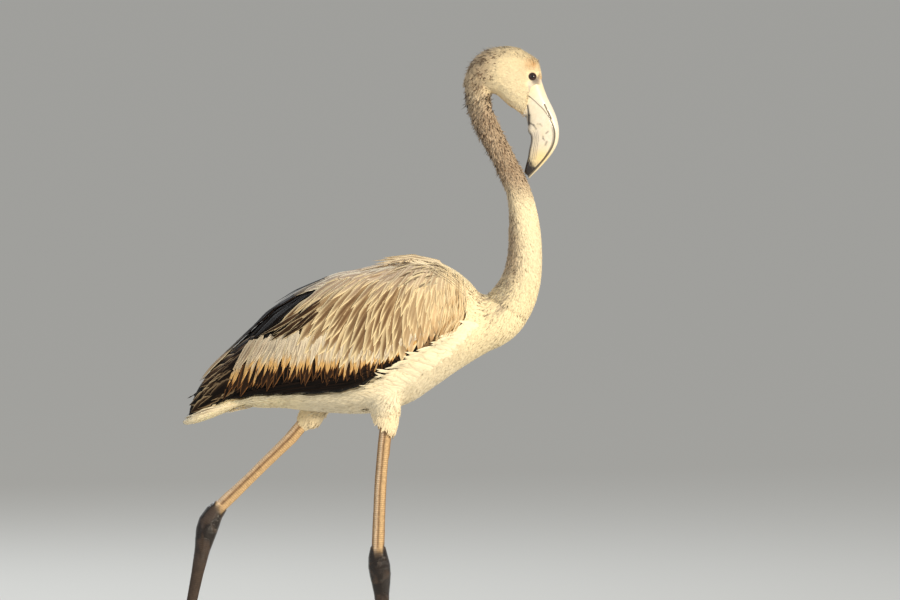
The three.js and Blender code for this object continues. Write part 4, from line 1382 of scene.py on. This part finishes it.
def make_wing(side_name):
    """The folded wing, tract by tract from the lowest layer to the highest."""
    vanes = VaneSet(f"coat_wing_{side_name}", "tan_feather")
    black = plain(base=BLACK, edge=mix(BLACK, DARK_BROWN, 0.35), variety=0.2)
    dark_ended = plain(base=mix(DARK_BROWN, BROWN, 0.25), streak=BLACK,
                       edge=mix(ORANGE_BROWN, BROWN, 0.3), streak_width=0.35, edge_at=0.7,
                       variety=0.15)
    golden = plain(base=mix(COVERT, TAN, 0.3), streak=mix(TAN, BROWN, 0.4), edge=PALE_EDGE, tip=GOLD,
                   end=ORANGE_BROWN, streak_width=0.03, tip_at=0.7, end_at=0.93, variety=0.12)
    streaked = plain(base=mix(BROWN, DARK_BROWN, 0.5), streak=BLACK, edge=PALE_EDGE,
                     streak_width=0.35, edge_at=0.7)
    for flow, rows, count, pattern, level_mm, shape in (
        (BAND_FLOW, [(0.5, 1.0), (0.3, 0.8), (0.1, 0.6), (-0.05, 0.4)],
         4, black, (0.0, 0.4), {"overlap": 1.9, "point": 0.4}),
        (PATCH_FLOW, [(0.45, 1.0), (0.2, 0.75), (-0.05, 0.5)],
         6, black, (0.4, 0.9), {"overlap": 1.7, "point": 0.6}),
        (REAR_FLOW, [(0.55, 1.05), (0.3, 0.85), (0.02, 0.6)],
         7, rear_pattern, (0.25, 0.6), {"overlap": 1.4, "ragged": 0.03, "point": 0.7}),
        (COVERT_FLOW, [(0.3, 1.0), (0.3, 0.92)],
         26, dark_ended, (0.4, 1.0), {"overlap": 1.6, "ragged": 0.04, "point": 0.9}),
        (COVERT_FLOW, [(0.0, 0.79), (0.0, 0.68)],
         31, golden, (0.7, 1.2), {"overlap": 1.4, "ragged": 0.05, "point": 0.95}),
        (COVERT_FLOW, [(-0.02, 0.5), (-0.02, 0.4)],
         31, covert_pattern, (1.2, 1.6), {"overlap": 1.2, "ragged": 0.06, "point": 1.0}),
        (SCAPULAR_FLOW,
         [(0.56, 1.0), (0.46, 0.92), (0.34, 0.82), (0.22, 0.7), (0.1, 0.57), (0.0, 0.43), (-0.08, 0.28)],
         18, scapular_pattern, (1.3, 1.8), {"ragged": 0.035, "point": 0.75, "curl": 0.012}),
        (STREAKED_FLOW, [(0.3, 1.0), (0.0, 0.65)],
         4, streaked, (2.8, 3.2), {"overlap": 1.4, "ragged": 0.06, "point": 0.9}),
        (SHOULDER_FLOW, [(0.55, 1.0), (0.36, 0.84), (0.18, 0.66), (0.0, 0.48), (-0.12, 0.3)],
         12, shoulder_pattern, (2.4, 2.9), {"ragged": 0.05, "point": 1.0}),
    ):
        tract(vanes, SIDES[side_name], flow, rows, count, pattern, level_mm, **shape)
    vanes.finish(firm_coat)


def drop(points):
    """Points let down on to the bird from above."""
    landed = []
    for place in points.tolist():
        hit = form.tree.ray_cast(Vector(place), Vector((0, 0, -1)))
        if hit[0] is None:
            hit = form.tree.find_nearest(Vector((place[0], place[1], RUMP_HEIGHT)))
        landed.append(tuple(hit[0]))
    return np.array(landed)


def make_back():
    """The mantle between the wings, in rows from the rump up to the neck's root."""
    vanes = VaneSet("coat_back", "pale_feather")
    for x in np.linspace(-158, 122, MANTLE_ROWS):
        half = np.interp(x, *MANTLE_HALF_WIDTH_MM)
        count = max(4, int(half / 3.5))
        y = np.linspace(-half, half, count) + random.normal(0, 1.5, count)
        reach = random.uniform(28, 38, count)[:, None]
        ahead = x + random.normal(0, 3, count)[:, None] - reach * vanes.t
        spread = 1 + 0.3 * ease(x, 20, 70) * vanes.t
        above = np.stack([ahead, y[:, None] * spread, np.full_like(ahead, ABOVE_BIRD_MM)], 2) * MM
        courses = drop(above.reshape(-1, 3)).reshape(above.shape)
        streaked = ease(x, 60, 90)
        rear = 1 - ease(x, -60, -25)
        black = ease(x, -146, -128) * (1 - ease(x, -58, -34))
        base = mix(mix(LILAC, CREAM, streaked), mix(TAN, BROWN, 0.3), rear)
        base = mix(base, BLACK, black)
        streak = mix(mix(TAN, BROWN, 0.4 + 0.6 * rear), mix(BROWN, DARK_BROWN, 0.5), streaked)
        tone = feather_tone(base, streak=mix(streak, BLACK, black),
                            edge=mix(mix(WHITE, PALE_EDGE, max(rear, streaked)), DARK_BROWN, black),
                            streak_width=0.08 + 0.2 * streaked, variety=0.1)
        width = random.uniform(15, 19, count) * MM * (1 - 0.3 * max(rear, 0.8 * streaked))
        vanes.add(courses, width, 2.4 * MM, 3.0 * MM, tone, curl=0.02 * (1 - rear))
    ruff = plain(base=mix(LILAC, CREAM, 0.6), streak=mix(TAN, BROWN, 0.8), edge=WHITE,
                 streak_width=0.2)
    hump = plain(base=mix(TAN, PALE_EDGE, 0.5), streak=DARK_BROWN, edge=WHITE, streak_width=0.28)
    for side in SIDES.values():
        tract(vanes, side, RUFF_FLOW, [(0.0, 0.8), (0.15, 1.0)], 5, ruff, (2.4, 3.2), overlap=2.0,
              ragged=0.08, point=0.9, facing=(0, side, 0.5))
        tract(vanes, side, HUMP_FLOW, [(-0.1, 0.4), (0.2, 0.7), (0.5, 1.0)], 6, hump, (3.2, 3.7),
              overlap=1.3, ragged=0.08, point=0.9)
    vanes.finish(firm_coat)


def make_tail():
    """White tail feathers, with a few barred ones over them."""
    vanes = VaneSet("coat_tail", "pale_feather")
    pale = plain(base=WHITE, streak=CREAM, edge=WHITE, streak_width=0.1)
    barred = plain(base=CREAM, streak=BROWN, edge=WHITE, streak_width=0.3)
    for side in SIDES.values():
        tract(vanes, side, TAIL_FLOW, [(0.5, 1.0), (0.3, 0.85), (0.1, 0.65), (-0.1, 0.45)], 5, pale,
              (1.6, 2.2), overlap=1.7, point=0.7)
        tract(vanes, side, TAIL_FLOW[:2], [(0.5, 0.95)], 3, barred, (2.6, 3.0), point=0.8)
    vanes.finish(firm_coat)


def make_flank():
    """Soft white feathers of the breast and flank that lap over the folded wing's lower edge."""
    vanes = VaneSet("coat_flank", "pale_feather")
    white = plain(base=mix(WHITE, CREAM, 0.3), edge=WHITE, variety=0.03)
    for side in SIDES.values():
        tract(vanes, side, FLANK_FLOW, [(0.3, 1.0), (0.1, 0.75), (-0.1, 0.5)], 38, white, (2.0, 2.7),
              overlap=1.8, jitter=2.0, ragged=0.07, point=0.8, curl=0.08)
    vanes.finish(soft_coat)


# ---------------------------------------------------------------- bill, eyes and claws
# Stations of each half in mm: x and z of its ridge, x and z of its gape side, and half its width.
UPPER_BILL = [
    [225, 871, 201, 853, 12.2], [231, 853, 213, 845, 12.6], [236, 841, 221, 837.5, 12.6],
    [241, 831, 229, 829.5, 12.2], [246, 818, 236.5, 818.5, 11.4], [248.7, 803, 241.8, 802.5, 10.4],
    [247, 788, 240.8, 788.5, 9.2], [239.5, 774, 235, 776.5, 7.6], [225.5, 757.5, 222.5, 760.5, 5.2],
    [211.5, 743.5, 209.5, 746.5, 2.4],
]
LOWER_BILL = [
    [204.5, 850, 204.5, 822, 11.2], [213, 845.6, 207.5, 819, 12], [221.5, 838, 209.5, 811, 13],
    [229.8, 829.8, 211, 802.5, 13.8], [237.3, 818.3, 213.5, 796, 14], [242.6, 802.8, 213, 788, 13.2],
    [241.6, 788.5, 211, 779, 11.8], [235.6, 776.2, 209.7, 770, 9.8], [226.5, 764, 207.8, 762.5, 7.6],
    [217.5, 754.3, 206, 755, 5.2], [209.6, 746.9, 205.3, 750.5, 2.6],
]
# Fine dark marks on the lower bill in side view: start, end, half width and strength.
# The first three marks are painted shade under the lower edge, the next two painted shade in the crease
# above the swelling.
BILL_MARKS = [
    ((527.4, 105), (528.8, 115), 1.0, 0.95), ((528.8, 115), (528.6, 124), 1.6, 0.97),
    ((525.6, 116), (525.6, 127), 1.1, 0.9), ((529.5, 122.5), (533.5, 124.6), 0.9, 0.7),
    ((533.5, 124.6), (536, 128.5), 0.8, 0.6), ((537, 123.4), (540, 123.6), 0.8, 0.3),
    ((540, 123.6), (541.8, 125.6), 0.7, 0.3), ((547.8, 131), (546, 132.8), 0.8, 0.55),
    ((542.8, 136), (542.9, 138), 0.9, 0.5), ((542.9, 138), (544.2, 139.6), 0.7, 0.5),
    ((546.6, 141.2), (545.2, 144.5), 1.0, 0.55),
]
BILL_GROOVES_MM = [(6.0, 0.5), (8.3, 0.45), (10.6, 0.4)]  # how far from the edge, and how wide
BILL_STATIONS = 240
BILL_ARC = 100
SQUARENESS = 0.8  # of the bill's cross-section, where 1 is an ellipse


def bill_grid(pairs, outward):
    """Points of one half of the bill by station and arc, as the CAD solid has them."""
    rows = through(pairs, np.linspace(0, len(pairs) - 1, BILL_STATIONS))
    ridge, base, half = rows[:, 0:2], rows[:, 2:4], rows[:, 4]
    flat, dome = (base, ridge) if outward > 0 else (ridge, base)
    arc = np.linspace(0, math.pi, BILL_ARC)
    lift = np.sin(arc) ** SQUARENESS
    middle = flat[:, None] + (dome - flat)[:, None] * lift[None, :, None]
    y = half[:, None] * np.sign(np.cos(arc)) * np.abs(np.cos(arc)) ** SQUARENESS
    points = np.stack([middle[..., 0] + CENTRING_MM, y, middle[..., 1]], -1) * MM
    t = np.linspace(0, 1, BILL_STATIONS)[:, None] * np.ones(BILL_ARC)
    depth = np.linalg.norm(dome - flat, axis=1)[:, None]
    return points, t, depth * lift[None, :], depth * (1 - lift[None, :])


def closed_bill(points):
    """Faces of the domed side, plus the flat side from rim to rim and the two ends."""
    rows, columns = points.shape[:2]
    faces = turned_over(grid_faces(rows, columns))
    left = np.arange(rows - 1) * columns
    flat = np.stack([left, left + columns, left + 2 * columns - 1, left + columns - 1], 1)
    ends = []
    for start in (0, (rows - 1) * columns):
        for i in range(columns // 2 - 1):
            ends.append([start + i, start + i + 1, start + columns - 2 - i, start + columns - 1 - i])
    return np.concatenate([faces, flat, np.array(ends)])


def upper_bill_marks(tones, seen, t, gape_line):
    """The nostril's slit, the grey tip and the line of the gape, as colours and hollows."""
    slit = hill(from_line(seen, (544.3, 104), (550.5, 118)), 0.75)
    tones = mix(tones, HORN_DARK, 0.95 * slit)
    tones = mix(tones, HORN_GREY, 0.5 * ease(t, 0.85, 1))
    tones = mix(tones, HORN_DARK, 0.85 * gape_line)
    return tones, 1.0 * MM * slit


def lower_bill_marks(tones, seen, points, from_top, gape_line):
    """The black tip, painted shade along the lower edge, fine grooves, the swelling under the bend, and
    small dark marks.
    """
    column, row = seen.T
    ragged = 8 * (cloud(points * [2, 2, 0.8], 2.5 * MM, 22) - 0.5)
    black = ease(row - 1.2 * (column - 529) + ragged, 150, 165)
    # Painted shade along the underside of the lower edge, from row 122 down.
    edge = ease(row, 122, 134) * (1 - ease(from_top, 1.3, 3.6))
    tones = mix(tones, HORN_DARK, np.maximum(black, edge * 0.85))
    sink = np.zeros(len(seen))
    for inward, width in BILL_GROOVES_MM:
        groove = hill(from_top - inward, width) * ease(row, 127, 136) * (1 - ease(row, 154, 163))
        tones = mix(tones, HORN_GREY, 0.8 * groove)
        sink += 0.3 * MM * groove
    sink -= 1.5 * MM * hill(np.linalg.norm((seen - (530.5, 130.5)) / (3.4, 4.6), axis=1), 1)
    for start, end, size, dark in BILL_MARKS:
        tones = mix(tones, HORN_DARK, dark * hill(from_line(seen, start, end), size))
    return mix(tones, HORN_DARK, 0.9 * gape_line), sink


def make_bill():
    """Both halves of the bill, pale horn with a yellow and amber flush."""
    for name, pairs, outward in (("bill_upper", UPPER_BILL, 1), ("bill_lower", LOWER_BILL, -1)):
        grid, t, from_gape, from_top = bill_grid(pairs, outward)
        points = grid.reshape(-1, 3)
        t, from_gape, from_top = t.ravel(), from_gape.ravel(), from_top.ravel()
        normals = Surface(points, turned_over(grid_faces(BILL_STATIONS, BILL_ARC))).normals
        outside = normals * np.sign(dot(normals, points - points.mean(0)).sum() + 1e-9)
        seen = to_picture(points)
        row = seen[:, 1]
        thick = 1.1 * ease(row, 116, 130)
        gape_line = 1 - ease(from_gape, 0.45 + thick, 1.1 + 1.4 * thick)
        tones = mix(np.tile(HORN, (len(points), 1)), HORN_YELLOW, 0.6 * ease(t, 0.55, 0.85))
        tones = mix(tones, HORN_YELLOW, 0.5 * (1 - ease(row, 84, 106)))
        tones = mix(tones, HORN_YELLOW, 0.3 * cloud(points, 6 * MM, 21))
        tones = mix(tones, HORN_AMBER, 0.6 * from_place(seen, (541, 157), 9))
        if outward > 0:
            tones, sink = upper_bill_marks(tones, seen, t, gape_line)
        else:
            tones, sink = lower_bill_marks(tones, seen, points, from_top, gape_line)
        mesh = mesh_of(f"{name}_horn", points - outside * sink[:, None], closed_bill(grid))
        paint(mesh, "Markings", tones)
        made = piece(f"{name}_horn", mesh, horn)
        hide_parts(name)


EYE_RINGS = 40
EYE_TURNS = 48
LID_TURNS = 72
LID_WIDE = 0.66  # the opening's half width and half height, in parts of the eye's radius
LID_HIGH = 0.62
LID_REACH = 6.3 * MM
# The lid's rim as (distance beyond the opening, height over the eyeball), then the shares of the
# way from the rim to the face.
LID_RIM_MM = [(-0.35, -0.35), (0.0, 0.25), (0.35, 0.3), (0.8, 0.1)]
LID_SHARES = (0.35, 0.7, 0.9)
CLAW_TURNS = 14
CLAW_RINGS = 9
CLAW_SPREAD = 0.42  # from one front toe to the next, in radians


def make_eyes():
    """Eyeballs with a bulging clear front, and the lids round them."""
    rings = np.linspace(0, math.pi, EYE_RINGS)
    turns = np.linspace(0, 2 * math.pi, EYE_TURNS, endpoint=False)
    radius = EYE_RADIUS * 0.94 + 0.35 * MM * hill(rings, 0.5)
    faces = grid_faces(EYE_RINGS, EYE_TURNS, closed=True)
    angle = np.repeat(rings, EYE_TURNS)
    iris = ease(angle, 0.36, 0.42) * (1 - ease(angle, 0.8, 0.95))
    for side_name, side in SIDES.items():
        centre = eyes[side_name]
        axis = unit(np.array([0.08, side, 0.05]))
        right = unit(np.cross(axis, [0, 0, 1]))
        up = np.cross(right, axis)
        ring = right * np.cos(turns)[:, None] + up * np.sin(turns)[:, None]
        points = [centre + (axis * math.cos(a) + ring * math.sin(a)) * r for a, r in zip(rings, radius)]
        mesh = mesh_of(f"eyeball_{side_name}", np.concatenate(points), faces)
        paint(mesh, "Markings", mix(np.tile(PUPIL, (len(angle), 1)), IRIS, iris))
        ball = piece(f"eyeball_{side_name}", mesh, wet_eye)
        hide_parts(f"eye_{side_name}")
        make_lids(side_name, centre, axis, right, up)


def make_lids(side_name, centre, axis, right, up):
    """Skin from the opening of the eye out to the face, with a dark rim along the opening."""
    turns = np.linspace(0, 2 * math.pi, LID_TURNS, endpoint=False)
    outward = right * np.cos(turns)[:, None] + up * np.sin(turns)[:, None]
    opening = EYE_RADIUS / np.hypot(np.cos(turns) / LID_WIDE, np.sin(turns) / LID_HIGH)
    ball = np.sqrt(EYE_RADIUS**2 - opening**2)
    face = []
    for way in outward:
        start = centre + way * LID_REACH + axis * 20 * MM
        hit = form.tree.ray_cast(Vector(start), Vector(-axis))
        face.append((np.array(hit[0]) - centre) @ axis)
    face = np.array(face)
    rings = []
    for beyond, over in LID_RIM_MM:
        rings.append((opening + beyond * MM, ball + over * MM - 0.5 * max(beyond, 0) * MM))
    edge_radius, edge_height = rings[-1]
    for share in LID_SHARES:
        fall = 0.15 * MM * math.sin(math.pi * share)
        radius = edge_radius + (LID_REACH - edge_radius) * share
        rings.append((radius, edge_height + (face - edge_height) * share + fall))
    rings.append((np.full(LID_TURNS, LID_REACH + 0.6 * MM), face - 0.8 * MM))
    points = [centre + outward * radius[:, None] + axis * height[:, None] for radius, height in rings]
    points = np.concatenate(points)
    faces = grid_faces(len(rings), LID_TURNS, closed=True)
    mesh = mesh_of(f"lids_{side_name}", points, faces)
    ring = np.repeat(np.arange(len(rings)), LID_TURNS)
    rim = np.interp(ring, [2, 3, 4, 5], [1, 0.75, 0.25, 0])
    paint(mesh, "Markings", mix(markings(points, np.full(len(points), "head")), LID_RIM, rim))
    piece(f"lids_{side_name}", mesh, pale_skin)


def claw_points(tip, way):
    """Rings of points from the root to the point of a claw on the toe that ends at `tip`."""
    turns = np.linspace(0, 2 * math.pi, CLAW_TURNS, endpoint=False)
    across = np.array([-way[1], way[0], 0])
    rings = []
    for t in np.linspace(0, 1, CLAW_RINGS):
        radius = 2.1 * MM * (1 - t**1.8) + 0.15 * MM
        middle = np.array([tip[0], tip[1], 0]) + np.append(way, 0) * (t * 8 - 7.4) * MM
        middle[2] = (2.3 - 1.5 * t**2) * MM + 0.2 * MM
        ring = middle + across * (np.cos(turns) * radius)[:, None]
        ring = ring + np.array([0, 0, 1]) * (np.sin(turns) * radius * 0.9)[:, None]
        ring[:, 2] = np.maximum(ring[:, 2], 0.15 * MM)
        rings.append(ring)
    return np.concatenate(rings)


def make_claws():
    """A short curved claw on the end of each front toe."""
    points = []
    for side in SIDES:
        foot = node_mesh([f"foot_{side}"])[0]
        low = foot[foot[:, 2] < 12 * MM]
        root = np.array([np.median(low[:, 0]) - 30 * MM, np.median(low[:, 1])])
        heading = low[:, :2] - root
        for spread in (-CLAW_SPREAD, 0.0, CLAW_SPREAD):
            way = np.array([math.cos(spread), math.sin(spread)])
            reach = heading @ way - 1.5 * np.abs(heading @ np.array([-way[1], way[0]]))
            points.append(claw_points(low[reach.argmax()], way))
    one = turned_over(grid_faces(CLAW_RINGS, CLAW_TURNS, closed=True))
    faces = repeated(one, len(points), CLAW_RINGS * CLAW_TURNS)
    mesh = mesh_of("claws", np.concatenate(points), faces)
    paint(mesh, "Markings", np.tile(HORN_DARK, (len(mesh.vertices), 1)))
    piece("claws", mesh, horn)


# ---------------------------------------------------------------- stage, lights and camera
TARGET = Vector((0.1181, 0, 0.59125))  # the picture's middle, on the bird's middle plane
CAMERA_ELEVATION = 3.2
CAMERA_LENS_MM = 420
SENSOR_MM = 36
FRAME_WIDTH = 900 * STEP
LIGHTS_AIM = Vector((0.05, 0, 0.55))


def make_stage():
    """A plain pale floor under an even pale sky."""
    floor_material, _, shader = new_material("floor", 0.9, specular=0.0)
    shader.inputs["Base Color"].default_value = (0.62, 0.62, 0.60, 1)
    bpy.ops.mesh.primitive_circle_add(vertices=128, radius=40, fill_type="NGON")
    floor = bpy.context.object
    floor.name = "floor"
    floor.data.materials.append(floor_material)
    world = bpy.data.worlds.new("studio")
    bpy.context.scene.world = world
    world.use_nodes = True
    background = world.node_tree.nodes["Background"]
    background.inputs["Color"].default_value = (0.94, 0.935, 0.92, 1)
    background.inputs["Strength"].default_value = 0.6


def add_light(name, place, size, power, tint, spread=180):
    """A soft round lamp aimed at the bird's middle."""
    data = bpy.data.lights.new(name, "AREA")
    data.shape = "DISK"
    data.size = size
    data.energy = power
    data.color = tint
    data.spread = math.radians(spread)
    lamp = bpy.data.objects.new(name, data)
    lamp.location = place
    lamp.rotation_euler = (LIGHTS_AIM - Vector(place)).to_track_quat("-Z", "Y").to_euler()
    bpy.context.scene.collection.objects.link(lamp)


def make_camera():
    """A long lens from the bird's right side that frames it as the photo does."""
    data = bpy.data.cameras.new("camera")
    data.lens = CAMERA_LENS_MM
    data.sensor_width = SENSOR_MM
    camera = bpy.data.objects.new("camera", data)
    distance = FRAME_WIDTH * CAMERA_LENS_MM / SENSOR_MM
    tilt = math.radians(CAMERA_ELEVATION)
    away = Vector((0, -math.cos(tilt), math.sin(tilt)))
    camera.location = TARGET + away * distance
    camera.rotation_euler = (-away).to_track_quat("-Z", "Y").to_euler()
    data.clip_end = 200
    bpy.context.scene.collection.objects.link(camera)
    bpy.context.scene.camera = camera


make_camera()
make_stage()
add_light("key", (2.8, -3.0, 1.5), 1.0, 43, (1.0, 0.885, 0.70), spread=90)
add_light("fill", (-2.6, -2.6, 1.6), 2.5, 16, (0.95, 0.95, 1.0))
add_light("rim", (-1.0, 3.0, 2.6), 1.6, 50, (0.9, 0.95, 1.0))

make_skin()
make_head_coat()
make_neck_coat()
make_body_coat()
make_wing_down()
for side_name in SIDES:
    make_wing(side_name)
make_back()
make_tail()
make_flank()
make_bill()
make_eyes()
make_claws()

bpy.context.scene.view_settings.view_transform = "Standard"
